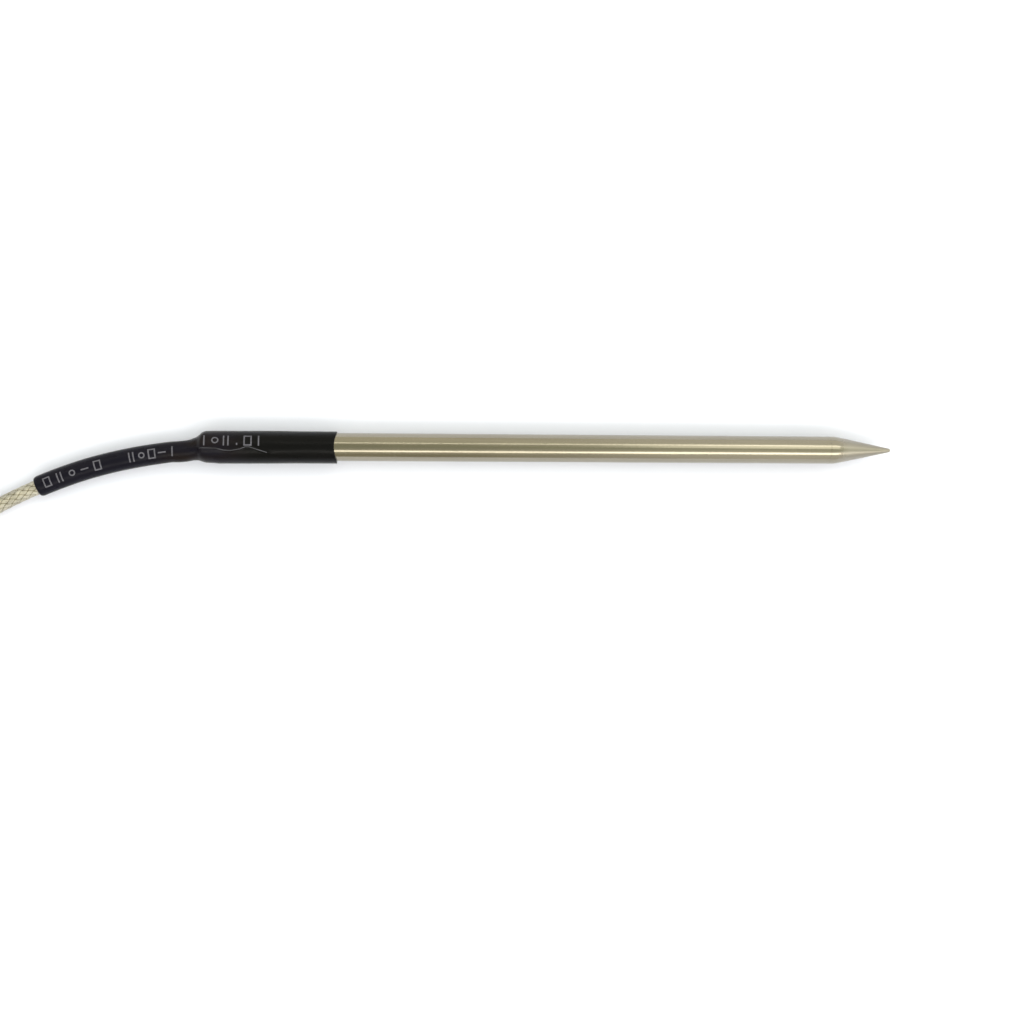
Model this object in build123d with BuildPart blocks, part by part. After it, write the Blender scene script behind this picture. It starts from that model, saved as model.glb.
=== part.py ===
from build123d import *
import math
import os

# Needle thermocouple probe with an over-braided lead, lying on a flat surface. Millimetres.
# The origin is on the sheath's axis where the bare stem begins, at the front face of the black
# sleeve. +X runs along the sheath to its point, and +Z is up from the surface.

# ---------------------------------------------------------------- driving dimensions
# sheath and needle point
SHEATH_DIAMETER = 4.0
SHEATH_WALL = 0.5
SHEATH_LENGTH = 100.0  # from the mouth to the point
MOUTH_DIAMETER = 3.6  # drawn down where the black sleeve grips it
POINT_HALF_ANGLE = 11.6
NOSE_RADIUS = 0.3
SHOULDER_RADIUS = 5.0  # blends the cylinder into the cone
SEAM_SETBACK = 1.0  # from the shoulder back to the weld between tube and point
SPIGOT_LENGTH = 3.5
POCKET_DIAMETER = 2.0  # the drilled hole that the junction sits in
POCKET_DEPTH = 6.0
DRILL_HALF_ANGLE = 59.0

# black heat-shrink sleeve over the sheath's mouth
SLEEVE_GRIP = 18.7  # length of sheath that it covers
SLEEVE_WALL = 0.55
SLEEVE_SETBACK = 0.05  # from the start of the full-diameter stem to the sleeve's front face
SLEEVE_LEAD_WALL = 0.45  # thicker where it has shrunk further
SLEEVE_NECK = 2.1  # length of the step from the sheath to the lead
SLEEVE_EDGE = 0.12

# lead: metal over-braid, glass jacket, two insulated conductors
LEAD_DIAMETER = 2.1
BRAID_BORE = 1.7
JACKET_BORE = 1.5
CORE_DIAMETER = 0.7
CORE_OFFSET = 0.37
WIRE_DIAMETER = 0.5
ARC_SHARE = 0.45  # share of the shorter run that an arc of the lead may take at each end

# wiring in the sheath
POLE_OFFSET = 0.65  # of each thermo-element from the sheath's axis
CORE_END_X = -8.7
WIRE_MEETING_X = -6.2
SPLICE_LENGTH = 4.0
SPLICE_DIAMETER = 0.9
SPLICE_SLEEVE_LENGTH = 6.0
SPLICE_SLEEVE_DIAMETER = 1.2
INSULATOR_COUNT = 3
INSULATOR_DIAMETER = 2.6
INSULATOR_BORE = 0.7
INSULATOR_START_X = -2.0
INSULATOR_GAP = 0.3
BEAD_DIAMETER = 1.1
BEAD_X = 73.4
ELEMENT_TURN_RADIUS = 3.0

# folded length of the lead, held by a tie: a long loop whose sides draw in at the tie
HANK_CENTRE = (-87.0, -6.0)
HANK_RUN = 42.0  # between the centres of the two round ends
HANK_INNER_RADIUS = 6.3  # of the lead's centre line in the inner turns
HANK_PITCH = 2.3  # from an inner turn to the outer turn beside it
HANK_PINCH = 5.2  # how far each side draws in
HANK_FULL_LAYERS = 3
WAIST_FILL = (16.0, 4.0)  # where the drawn-in sides meet
TIE_WIDTH = 2.4
TIE_THICKNESS = 0.9
TIE_HEAD = (4.2, 3.2, 4.6)
TIE_HEAD_Z = 2.2

# far end of the lead
BREAKOUT_DIAMETER = 2.9
BREAKOUT_START = (-65.9, -15.1, 5.42)
BREAKOUT_END = (-74.6, -13.75, 5.5)
BREAKOUT_LEAD = 4.5  # length of lead inside it
TAIL_DIAMETER = 1.0
BARREL_X = -128.5  # where the wires enter the terminals
BARREL_LENGTH = 5.0
BARREL_DIAMETER = 2.6
BARREL_BORE = 0.9
TONGUE_THICKNESS = 0.8
TONGUE_WIDTH = 7.6
TONGUE_LENGTH = 9.0
TONGUE_NECK = 2.0
SLOT_WIDTH = 4.3  # for an M4 screw
SLOT_START = 2.3  # from the barrel's end to the slot's round bottom
TONGUE_ROOT = 1.2  # how far the tongue runs back under the barrel
TINE_RADIUS = 0.8
GRIP_LENGTH = 8.5  # coloured sleeve on the barrel
GRIP_HOLD = 3.7  # length of barrel that it covers
GRIP_DIAMETER = 3.8
GRIP_MOUTH = 2.0

# ---------------------------------------------------------------- routes of the lead
# The lead's centre line from inside the sheath to the end of the black sleeve.
ENTRY_ROUTE = [
    (-13.7, -0.27, -0.15),
    (-19.6, -0.34, -0.17),
    (-28.7, -1.61, -0.33),
    (-36.9, -3.82, -0.6),
    (-41.3, -5.75, -0.77),
]

# From the black sleeve to the folded length. The first run goes on in line with the last above.
FREE_ROUTE = [
    (-41.3, -5.75, -0.77),
    (-45.0, -7.373, -0.913),
    (-51.6, -11.15, -1.14),
    (-59.6, -14.1, -1.28),
    (-68.0, -14.6, -1.3),
]

# The two insulated wires, from the lead's end over the folded length to the terminals.
TAIL_ROUTES = {
    "positive": [
        (-70.48, -14.9, 5.47),
        (-76.1, -14.03, 5.52),
        (-81.4, -11.4, 5.2),
        (-87.2, -9.8, 5.4),
        (-93.6, -10.95, 4.8),
        (-100.3, -13.0, 4.5),
        (-107.0, -14.25, 4.5),
        (-114.3, -13.3, 4.8),
        (-118.7, -12.2, 2.0),
        (-122.7, -11.5, -0.35),
        (-128.5, -11.35, -0.45),
    ],
    "negative": [
        (-70.32, -13.89, 5.47),
        (-75.95, -13.02, 5.52),
        (-81.2, -10.3, 5.25),
        (-87.0, -8.72, 5.5),
        (-92.0, -8.3, 6.9),
        (-97.4, -6.3, 7.1),
        (-103.3, -4.1, 6.65),
        (-109.4, -3.0, 6.75),
        (-115.9, -2.55, 7.15),
        (-119.7, -2.25, 3.3),
        (-123.1, -2.05, -0.3),
        (-128.5, -1.95, -0.45),
    ],
}

# ---------------------------------------------------------------- worked out from these
MOUTH_X = -SLEEVE_GRIP
POINT_X = SHEATH_LENGTH - SLEEVE_GRIP
SHEATH_BORE = SHEATH_DIAMETER - 2 * SHEATH_WALL
SLEEVE_DIAMETER = MOUTH_DIAMETER + 2 * SLEEVE_WALL
SLEEVE_LEAD_DIAMETER = LEAD_DIAMETER + 2 * SLEEVE_LEAD_WALL
SURFACE_Z = -SLEEVE_DIAMETER / 2

NOSE_X = POINT_X - NOSE_RADIUS
NOSE_EDGE = (
    NOSE_X + NOSE_RADIUS * math.sin(math.radians(POINT_HALF_ANGLE)),
    NOSE_RADIUS * math.cos(math.radians(POINT_HALF_ANGLE)),
)
CONE_LENGTH = (SHEATH_DIAMETER / 2 - NOSE_EDGE[1]) / math.tan(math.radians(POINT_HALF_ANGLE))
SHOULDER_X = NOSE_EDGE[0] - CONE_LENGTH
SEAM_X = SHOULDER_X - SEAM_SETBACK
SPIGOT_X = SEAM_X - SPIGOT_LENGTH
INSULATOR_SPAN = SPIGOT_X - INSULATOR_START_X
INSULATOR_LENGTH = INSULATOR_SPAN / INSULATOR_COUNT - INSULATOR_GAP

POLES = {"positive": 1, "negative": -1}


# ---------------------------------------------------------------- shared geometry
def arc_radii(route):
    """The largest arc that the runs beside each corner of a route leave room for."""
    points = [Vector(*point) for point in route]
    radii = []
    for before, corner, after in zip(points, points[1:], points[2:]):
        turn = math.radians((corner - before).get_angle(after - corner))
        shorter = min((corner - before).length, (after - corner).length)
        radii.append(ARC_SHARE * shorter / math.tan(turn / 2))
    return radii


def centre_line(route, radii):
    """Straight runs joined by tangent arcs."""
    with BuildLine() as line:
        FilletPolyline(*route, radius=radii)
    return line.wire()


def start_plane(path):
    """The plane square to a path at its start."""
    return Plane(origin=path @ 0, z_dir=path % 0)


def cross_plane(x):
    """The plane square to the sheath at x. Its own x and y are the model's Y and Z."""
    return Plane.YZ.offset(x)


def racetrack(reach):
    """The long loop of the folded lead, with round ends of radius reach."""
    with BuildSketch() as loop:
        with BuildLine():
            end = CenterArc((HANK_RUN / 2, 0), reach, 0, -90)
            middle = (HANK_RUN / 4, HANK_PINCH / 2 - reach)
            outer_bend = TangentArc(end @ 1, middle, tangent=end % 1)
            waist = (0, HANK_PINCH - reach)
            TangentArc(outer_bend @ 1, waist, tangent=outer_bend % 1)
            mirror(about=Plane.XZ)
            mirror(about=Plane.YZ)
        make_face()
    return loop.sketch


def finish(part, name):
    """Names a finished piece and writes it."""
    part.label = name
    export_step(part, f"parts/{name}.step")


os.makedirs("parts", exist_ok=True)

# ---------------------------------------------------------------- sheath and needle point
with BuildPart() as sheath_tube:
    with BuildSketch(cross_plane(MOUTH_X)):
        Circle(MOUTH_DIAMETER / 2)
    extrude(amount=-MOUTH_X)
    with BuildSketch(Plane.YZ):
        Circle(SHEATH_DIAMETER / 2)
    extrude(amount=SEAM_X)
    with BuildSketch(cross_plane(MOUTH_X)):
        Circle(SHEATH_BORE / 2)
    extrude(amount=SEAM_X - MOUTH_X, mode=Mode.SUBTRACT)
finish(sheath_tube.part, "sheath_tube")

# A turned solid point. Its spigot fills the tube's end and its pocket holds the junction.
with BuildPart() as needle_tip:
    with BuildSketch(Plane.XZ):
        with BuildLine():
            Polyline(
                (POINT_X, 0),
                (SPIGOT_X, 0),
                (SPIGOT_X, SHEATH_BORE / 2),
                (SEAM_X, SHEATH_BORE / 2),
                (SEAM_X, SHEATH_DIAMETER / 2),
                (SHOULDER_X, SHEATH_DIAMETER / 2),
                NOSE_EDGE,
            )
            RadiusArc(NOSE_EDGE, (POINT_X, 0), NOSE_RADIUS)
        make_face()
        shoulder = vertices().sort_by_distance((SHOULDER_X, SHEATH_DIAMETER / 2))[0]
        fillet(shoulder, radius=SHOULDER_RADIUS)
    revolve(axis=Axis.X)
    with BuildSketch(Plane.XZ):
        pocket_end = SPIGOT_X + POCKET_DEPTH
        drill_point = POCKET_DIAMETER / 2 / math.tan(math.radians(DRILL_HALF_ANGLE))
        with BuildLine():
            Polyline(
                (SPIGOT_X, 0),
                (SPIGOT_X, POCKET_DIAMETER / 2),
                (pocket_end, POCKET_DIAMETER / 2),
                (pocket_end + drill_point, 0),
                close=True,
            )
        make_face()
    revolve(axis=Axis.X, mode=Mode.SUBTRACT)
finish(needle_tip.part, "needle_tip")

# ---------------------------------------------------------------- lead in the sheath and sleeve
entry_path = centre_line(ENTRY_ROUTE, arc_radii(ENTRY_ROUTE))

with BuildPart() as braid_entry:
    with BuildSketch(start_plane(entry_path)):
        Circle(LEAD_DIAMETER / 2)
        Circle(BRAID_BORE / 2, mode=Mode.SUBTRACT)
    sweep(path=entry_path)
finish(braid_entry.part, "braid_entry")

with BuildPart() as jacket_entry:
    with BuildSketch(start_plane(entry_path)):
        Circle(BRAID_BORE / 2)
        Circle(JACKET_BORE / 2, mode=Mode.SUBTRACT)
    sweep(path=entry_path)
finish(jacket_entry.part, "jacket_entry")

# Epoxy that holds the lead in the sheath's mouth.
with BuildPart() as mouth_seal:
    with BuildSketch(cross_plane(MOUTH_X)):
        Circle(SHEATH_BORE / 2)
    extrude(amount=ENTRY_ROUTE[0][0] - MOUTH_X)
    with BuildSketch(start_plane(entry_path)):
        Circle(LEAD_DIAMETER / 2)
    sweep(path=entry_path, mode=Mode.SUBTRACT)
finish(mouth_seal.part, "mouth_seal")

# The sleeve grips the sheath, steps down past its mouth and follows the lead.
with BuildPart() as transition_sleeve:
    neck_end = entry_path.position_at(
        (-MOUTH_X + SLEEVE_NECK + ENTRY_ROUTE[0][0]) / entry_path.length
    )
    neck_plane = Plane(origin=neck_end, z_dir=(-1, 0, 0))
    with BuildSketch(cross_plane(MOUTH_X)):
        Circle(SLEEVE_DIAMETER / 2)
    extrude(amount=-MOUTH_X - SLEEVE_SETBACK)
    fillet(edges().group_by(Axis.X)[-1], radius=SLEEVE_EDGE)
    with BuildSketch(Plane(origin=(MOUTH_X, 0, 0), z_dir=(-1, 0, 0))):
        Circle(SLEEVE_DIAMETER / 2)
    with BuildSketch(neck_plane):
        Circle(SLEEVE_LEAD_DIAMETER / 2)
    loft()
    with BuildSketch(start_plane(entry_path)):
        Circle(SLEEVE_LEAD_DIAMETER / 2)
    sweep(path=entry_path)
    with BuildSketch(cross_plane(MOUTH_X)):
        Circle(MOUTH_DIAMETER / 2)
    extrude(amount=-MOUTH_X, mode=Mode.SUBTRACT)
    with BuildSketch(Plane(origin=(MOUTH_X, 0, 0), z_dir=(-1, 0, 0))):
        Circle(MOUTH_DIAMETER / 2)
    with BuildSketch(neck_plane):
        Circle(LEAD_DIAMETER / 2)
    loft(mode=Mode.SUBTRACT)
    with BuildSketch(start_plane(entry_path)):
        Circle(LEAD_DIAMETER / 2)
    sweep(path=entry_path, mode=Mode.SUBTRACT)
finish(transition_sleeve.part, "transition_sleeve")

# ---------------------------------------------------------------- wiring in the sheath
element_parts = []
for pole, side in POLES.items():
    core_route = [
        (CORE_END_X, 0, side * POLE_OFFSET),
        (-10.2, 0, side * POLE_OFFSET),
        (-12.4, -0.25, side * CORE_OFFSET - 0.15),
    ]
    core_route += [(x, y, z + side * CORE_OFFSET) for x, y, z in ENTRY_ROUTE[1:]]
    core_arcs = arc_radii(core_route)
    core_path = centre_line(core_route, core_arcs)
    bare_route = [(WIRE_MEETING_X, 0, side * POLE_OFFSET)] + core_route[1:]
    bare_path = centre_line(bare_route, core_arcs)

    with BuildPart() as conductor:
        with BuildSketch(start_plane(bare_path)):
            Circle(WIRE_DIAMETER / 2)
        sweep(path=bare_path)
    finish(conductor.part, f"{pole}_conductor")

    with BuildPart() as core_insulation:
        with BuildSketch(start_plane(core_path)):
            Circle(CORE_DIAMETER / 2)
            Circle(WIRE_DIAMETER / 2, mode=Mode.SUBTRACT)
        sweep(path=core_path)
    finish(core_insulation.part, f"{pole}_core_insulation")

    splice_centre = (0, side * POLE_OFFSET)
    with BuildPart() as splice:
        with BuildSketch(cross_plane(WIRE_MEETING_X)):
            with Locations(splice_centre):
                Circle(SPLICE_DIAMETER / 2)
                Circle(WIRE_DIAMETER / 2, mode=Mode.SUBTRACT)
        extrude(amount=SPLICE_LENGTH / 2, both=True)
    finish(splice.part, f"{pole}_splice")

    with BuildPart() as splice_sleeve:
        with BuildSketch(cross_plane(WIRE_MEETING_X)):
            with Locations(splice_centre):
                Circle(SPLICE_SLEEVE_DIAMETER / 2)
                Circle(SPLICE_DIAMETER / 2, mode=Mode.SUBTRACT)
        extrude(amount=SPLICE_SLEEVE_LENGTH / 2, both=True)
    finish(splice_sleeve.part, f"{pole}_splice_sleeve")

    # The element runs straight through the ceramic and turns in to the bead.
    element_route = [
        (WIRE_MEETING_X, 0, side * POLE_OFFSET),
        (SPIGOT_X + 0.6, 0, side * POLE_OFFSET),
        (BEAD_X, 0, side * BEAD_DIAMETER / 4),
    ]
    element_path = centre_line(element_route, [ELEMENT_TURN_RADIUS])
    with BuildPart() as element:
        with BuildSketch(start_plane(element_path)):
            Circle(WIRE_DIAMETER / 2)
        sweep(path=element_path)
    element_parts.append(element.part)
    finish(element.part, f"{pole}_element")

for number in range(INSULATOR_COUNT):
    insulator_x = INSULATOR_START_X + number * (INSULATOR_LENGTH + INSULATOR_GAP)
    with BuildPart() as ceramic_insulator:
        with BuildSketch(cross_plane(insulator_x)):
            Circle(INSULATOR_DIAMETER / 2)
            with Locations((0, POLE_OFFSET), (0, -POLE_OFFSET)):
                Circle(INSULATOR_BORE / 2, mode=Mode.SUBTRACT)
        extrude(amount=INSULATOR_LENGTH)
    finish(ceramic_insulator.part, f"ceramic_insulator_{number + 1}")

with BuildPart() as hot_junction:
    with Locations((BEAD_X, 0, 0)):
        Sphere(BEAD_DIAMETER / 2)
    for wire in element_parts:
        add(wire, mode=Mode.SUBTRACT)
finish(hot_junction.part, "hot_junction")

# Cement fills the pocket round the bead and the wires.
with BuildPart() as junction_cement:
    with BuildSketch(cross_plane(SPIGOT_X)):
        Circle(POCKET_DIAMETER / 2)
    extrude(amount=POCKET_DEPTH)
    with Locations((BEAD_X, 0, 0)):
        Sphere(BEAD_DIAMETER / 2, mode=Mode.SUBTRACT)
    for wire in element_parts:
        add(wire, mode=Mode.SUBTRACT)
finish(junction_cement.part, "junction_cement")

# ---------------------------------------------------------------- free run and folded length
free_radii = arc_radii(FREE_ROUTE)
free_path = centre_line(FREE_ROUTE, free_radii)

with BuildPart() as lead_free_run:
    with BuildSketch(start_plane(free_path)):
        Circle(LEAD_DIAMETER / 2)
    sweep(path=free_path)
finish(lead_free_run.part, "lead_free_run")
tubes = [
    {
        "name": "lead_free_run",
        "path": free_path,
        "radii": free_radii,
        "diameter": LEAD_DIAMETER,
        "volume": lead_free_run.part.volume,
    }
]

inner_edge = HANK_INNER_RADIUS - LEAD_DIAMETER / 2
inner_turn_edge = HANK_INNER_RADIUS + LEAD_DIAMETER / 2
outer_edge = inner_turn_edge + HANK_PITCH
full_height = HANK_FULL_LAYERS * LEAD_DIAMETER
top_layer_z = SURFACE_Z + full_height
waist_half_width = outer_edge - HANK_PINCH
waist_turn_half_width = inner_turn_edge - HANK_PINCH
breakout_axis = Vector(*BREAKOUT_END) - Vector(*BREAKOUT_START)

# Three full layers of two turns, a seventh turn on top, and the lead's end coming off it. The
# waist stands on the tie, so it is higher there by the tie's thickness.
with BuildPart() as lead_hank:
    with BuildSketch(Plane(origin=(*HANK_CENTRE, SURFACE_Z))):
        add(racetrack(outer_edge))
        add(racetrack(inner_edge), mode=Mode.SUBTRACT)
        Rectangle(*WAIST_FILL)
    extrude(amount=full_height)
    with BuildSketch(Plane(origin=(*HANK_CENTRE, top_layer_z))):
        with Locations((HANK_RUN / 2, 0)):
            Circle(outer_edge)
        Rectangle(HANK_RUN, 2 * outer_edge, mode=Mode.SUBTRACT)
        add(racetrack(inner_turn_edge))
        add(racetrack(inner_edge), mode=Mode.SUBTRACT)
        Rectangle(*WAIST_FILL)
    extrude(amount=LEAD_DIAMETER)
    with Locations((*HANK_CENTRE, SURFACE_Z + TIE_THICKNESS / 2)):
        Box(TIE_WIDTH, 2 * outer_edge, TIE_THICKNESS, mode=Mode.SUBTRACT)
    with Locations((*HANK_CENTRE, SURFACE_Z + TIE_THICKNESS)):
        Box(
            TIE_WIDTH,
            2 * waist_half_width,
            full_height,
            align=(Align.CENTER, Align.CENTER, Align.MIN),
        )
    with Locations((*HANK_CENTRE, top_layer_z + TIE_THICKNESS)):
        Box(
            TIE_WIDTH,
            2 * waist_turn_half_width,
            LEAD_DIAMETER,
            align=(Align.CENTER, Align.CENTER, Align.MIN),
        )
    with BuildSketch(Plane(origin=BREAKOUT_START, z_dir=breakout_axis)):
        Circle(LEAD_DIAMETER / 2)
    extrude(amount=BREAKOUT_LEAD)
finish(lead_hank.part, "lead_hank")

# A cable tie drawn tight round the waist: a band with straight sides between rounded corners.
waist_strands = [
    (-HANK_INNER_RADIUS - HANK_PITCH + HANK_PINCH, 0),
    (HANK_INNER_RADIUS + HANK_PITCH - HANK_PINCH, 0),
    (-HANK_INNER_RADIUS - HANK_PITCH + HANK_PINCH, HANK_FULL_LAYERS - 1),
    (HANK_INNER_RADIUS + HANK_PITCH - HANK_PINCH, HANK_FULL_LAYERS - 1),
    (-HANK_INNER_RADIUS + HANK_PINCH, HANK_FULL_LAYERS),
    (HANK_INNER_RADIUS - HANK_PINCH, HANK_FULL_LAYERS),
]
bottom_strand_z = SURFACE_Z + TIE_THICKNESS + LEAD_DIAMETER / 2
tie_corners = [
    (HANK_CENTRE[1] + y, bottom_strand_z + layer * LEAD_DIAMETER, LEAD_DIAMETER / 2)
    for y, layer in waist_strands
]
outer_tail = TAIL_ROUTES["positive"][3]
tie_corners.append((outer_tail[1], outer_tail[2], TAIL_DIAMETER / 2))


def tie_outline(clearance):
    """A taut line round the strands at the waist, a little way off them."""
    with BuildSketch() as outline:
        with BuildLine():
            for y, z, radius in tie_corners:
                CenterArc((y, z), radius + clearance, 0, 360)
        make_hull()
    return outline.sketch


with BuildPart() as hank_tie:
    with BuildSketch(cross_plane(HANK_CENTRE[0])):
        add(tie_outline(TIE_THICKNESS))
        add(tie_outline(0), mode=Mode.SUBTRACT)
    extrude(amount=TIE_WIDTH / 2, both=True)
    tie_side_y = HANK_CENTRE[1] + waist_half_width
    with Locations((HANK_CENTRE[0], tie_side_y, TIE_HEAD_Z)):
        Box(*TIE_HEAD, align=(Align.CENTER, Align.MIN, Align.CENTER))
finish(hank_tie.part, "hank_tie")

# ---------------------------------------------------------------- far end
with BuildPart() as breakout_sleeve:
    with BuildSketch(Plane(origin=BREAKOUT_START, z_dir=breakout_axis)):
        Circle(BREAKOUT_DIAMETER / 2)
        Circle(LEAD_DIAMETER / 2, mode=Mode.SUBTRACT)
    extrude(amount=breakout_axis.length)
finish(breakout_sleeve.part, "breakout_sleeve")

for pole, route in TAIL_ROUTES.items():
    tail_radii = arc_radii(route)
    tail_path = centre_line(route, tail_radii)
    _, tail_y, tail_z = route[-1]
    barrel_start = Plane(origin=(BARREL_X, tail_y, tail_z), z_dir=(-1, 0, 0))
    barrel_end_x = BARREL_X - BARREL_LENGTH

    with BuildPart() as tail:
        with BuildSketch(start_plane(tail_path)):
            Circle(TAIL_DIAMETER / 2)
        sweep(path=tail_path)
    finish(tail.part, f"{pole}_tail")
    tubes.append(
        {
            "name": f"{pole}_tail",
            "path": tail_path,
            "radii": tail_radii,
            "diameter": TAIL_DIAMETER,
            "volume": tail.part.volume,
        }
    )

    with BuildPart() as tail_end:
        with BuildSketch(barrel_start):
            Circle(BARREL_BORE / 2)
        extrude(amount=BARREL_LENGTH)
    finish(tail_end.part, f"{pole}_tail_end")

    # A fork terminal: the tongue is level with the underside of the crimped barrel.
    with BuildPart() as terminal:
        with BuildSketch(barrel_start):
            Circle(BARREL_DIAMETER / 2)
        extrude(amount=BARREL_LENGTH)
        tongue_z = tail_z - BARREL_DIAMETER / 2
        with BuildSketch(Plane(origin=(barrel_end_x, tail_y, tongue_z))):
            with BuildLine():
                Polyline(
                    (TONGUE_ROOT, 0),
                    (TONGUE_ROOT, BARREL_DIAMETER / 3),
                    (0, BARREL_DIAMETER / 2),
                    (-TONGUE_NECK, TONGUE_WIDTH / 2),
                    (-TONGUE_LENGTH, TONGUE_WIDTH / 2),
                    (-TONGUE_LENGTH, 0),
                )
                mirror(about=Plane.XZ)
            make_face()
            with Locations((-SLOT_START - SLOT_WIDTH / 2, 0)):
                Circle(SLOT_WIDTH / 2, mode=Mode.SUBTRACT)
                Rectangle(
                    TONGUE_LENGTH,
                    SLOT_WIDTH,
                    align=(Align.MAX, Align.CENTER),
                    mode=Mode.SUBTRACT,
                )
            fillet(vertices().group_by(Axis.X)[0], radius=TINE_RADIUS)
        extrude(amount=TONGUE_THICKNESS)
        with BuildSketch(barrel_start):
            Circle(BARREL_BORE / 2)
        extrude(amount=BARREL_LENGTH, mode=Mode.SUBTRACT)
    finish(terminal.part, f"{pole}_terminal")

    # The coloured sleeve grips the barrel and stands over the wire's insulation.
    with BuildPart() as terminal_sleeve:
        with BuildSketch(barrel_start):
            Circle(GRIP_DIAMETER / 2)
            Circle(BARREL_DIAMETER / 2, mode=Mode.SUBTRACT)
        extrude(amount=GRIP_HOLD)
        with BuildSketch(barrel_start):
            Circle(GRIP_DIAMETER / 2)
            Circle(GRIP_MOUTH / 2, mode=Mode.SUBTRACT)
        extrude(amount=GRIP_HOLD - GRIP_LENGTH)
    finish(terminal_sleeve.part, f"{pole}_terminal_sleeve")

# ---------------------------------------------------------------- figures of the tubes
for tube in tubes:
    section = math.pi * tube["diameter"] ** 2 / 4
    print(tube["name"], "arcs", [round(radius, 1) for radius in tube["radii"]])
    print("  length", round(tube["path"].length, 2), "volume", round(tube["volume"], 2))
    print("  section times length", round(section * tube["path"].length, 2))
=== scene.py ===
"""The looks of a needle thermocouple probe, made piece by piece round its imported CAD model.

It is laid out as an add-on and is run as a script. Sizes are in metres, in the CAD model's own frame:
the origin is on the stem's axis at the front face of the black sleeve, +X runs to the point and +Z is up
from the floor.
"""

import math

import bmesh
import bpy
import numpy as np
from bpy.props import FloatProperty, FloatVectorProperty, IntProperty, PointerProperty
from mathutils import Matrix, Vector


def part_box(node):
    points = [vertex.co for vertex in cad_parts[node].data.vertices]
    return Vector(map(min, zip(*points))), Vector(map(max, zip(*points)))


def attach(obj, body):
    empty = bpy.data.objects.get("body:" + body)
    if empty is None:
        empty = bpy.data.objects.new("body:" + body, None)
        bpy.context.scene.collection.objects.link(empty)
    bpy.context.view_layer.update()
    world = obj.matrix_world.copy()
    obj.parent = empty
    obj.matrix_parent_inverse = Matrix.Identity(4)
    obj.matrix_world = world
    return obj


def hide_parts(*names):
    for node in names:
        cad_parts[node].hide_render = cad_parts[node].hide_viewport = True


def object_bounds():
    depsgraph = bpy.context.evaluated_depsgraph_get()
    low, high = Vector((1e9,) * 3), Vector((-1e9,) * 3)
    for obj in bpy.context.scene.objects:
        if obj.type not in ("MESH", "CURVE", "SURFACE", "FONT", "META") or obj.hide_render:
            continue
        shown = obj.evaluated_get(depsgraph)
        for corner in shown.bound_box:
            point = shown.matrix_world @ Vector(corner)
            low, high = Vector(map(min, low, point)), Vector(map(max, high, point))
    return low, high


bl_info = {
    "name": "Needle thermocouple probe",
    "version": (1, 0, 0),
    "blender": (4, 5, 0),
    "location": "3D View > Sidebar > Probe",
    "description": "Makes the pieces of a needle probe with a braided lead round its CAD model",
    "category": "Add Mesh",
}

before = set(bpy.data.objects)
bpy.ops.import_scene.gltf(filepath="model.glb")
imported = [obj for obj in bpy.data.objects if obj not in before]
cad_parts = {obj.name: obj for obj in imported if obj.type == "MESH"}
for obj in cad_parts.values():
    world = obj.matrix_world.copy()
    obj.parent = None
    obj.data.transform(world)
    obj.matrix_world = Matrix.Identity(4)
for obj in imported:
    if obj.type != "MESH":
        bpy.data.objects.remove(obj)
CAD_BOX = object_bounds()
FLOOR_Z = CAD_BOX[0].z

MM = 0.001
WELD = 1e-7  # corners nearer than this are one
POLES = {"positive": "red", "negative": "blue"}
TAIL_STRANDS = 6  # yarns that turn each way round a tail

# ---------------------------------------------------------------- routes, as in the CAD, in millimetres
ENTRY_ROUTE = [
    (-13.7, -0.27, -0.15),
    (-19.6, -0.34, -0.17),
    (-28.7, -1.61, -0.33),
    (-36.9, -3.82, -0.6),
    (-41.3, -5.75, -0.77),
]
FREE_ROUTE = [
    (-41.3, -5.75, -0.77),
    (-45.0, -7.373, -0.913),
    (-51.6, -11.15, -1.14),
    (-59.6, -14.1, -1.28),
    (-68.0, -14.6, -1.3),
]
TAIL_ROUTES = {
    "positive": [
        (-70.48, -14.9, 5.47),
        (-76.1, -14.03, 5.52),
        (-81.4, -11.4, 5.2),
        (-87.2, -9.8, 5.4),
        (-93.6, -10.95, 4.8),
        (-100.3, -13.0, 4.5),
        (-107.0, -14.25, 4.5),
        (-114.3, -13.3, 4.8),
        (-118.7, -12.2, 2.0),
        (-122.7, -11.5, -0.35),
        (-128.5, -11.35, -0.45),
    ],
    "negative": [
        (-70.32, -13.89, 5.47),
        (-75.95, -13.02, 5.52),
        (-81.2, -10.3, 5.25),
        (-87.0, -8.72, 5.5),
        (-92.0, -8.3, 6.9),
        (-97.4, -6.3, 7.1),
        (-103.3, -4.1, 6.65),
        (-109.4, -3.0, 6.75),
        (-115.9, -2.55, 7.15),
        (-119.7, -2.25, 3.3),
        (-123.1, -2.05, -0.3),
        (-128.5, -1.95, -0.45),
    ],
}
BREAKOUT_ROUTE = [(-65.9, -15.1, 5.42), (-74.6, -13.75, 5.5)]
LEAD_END = (-70.35, -14.41, 5.46)

# The folded lead is wound as a long loop. Each turn runs in the outer or the inner place of its layer.
HANK_CENTRE = (-87.0, -6.0)
HANK_HALF_RUN = 21.0  # from the middle to the centre of each round end
HANK_PINCH = 5.2  # how far each side draws in at the tie
HANK_BOTTOM_Z = -1.3
TIE_THICKNESS = 0.9  # the waist stands on the tie
OUTER, INNER = 8.6, 6.3  # radius of the two places at the round ends
TURNS = [(OUTER, 0), (INNER, 0), (INNER, 1), (OUTER, 1), (OUTER, 2), (INNER, 2), (INNER, 3)]
LAYER_HEIGHT = 2.1  # from one layer's centre to the next
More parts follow.
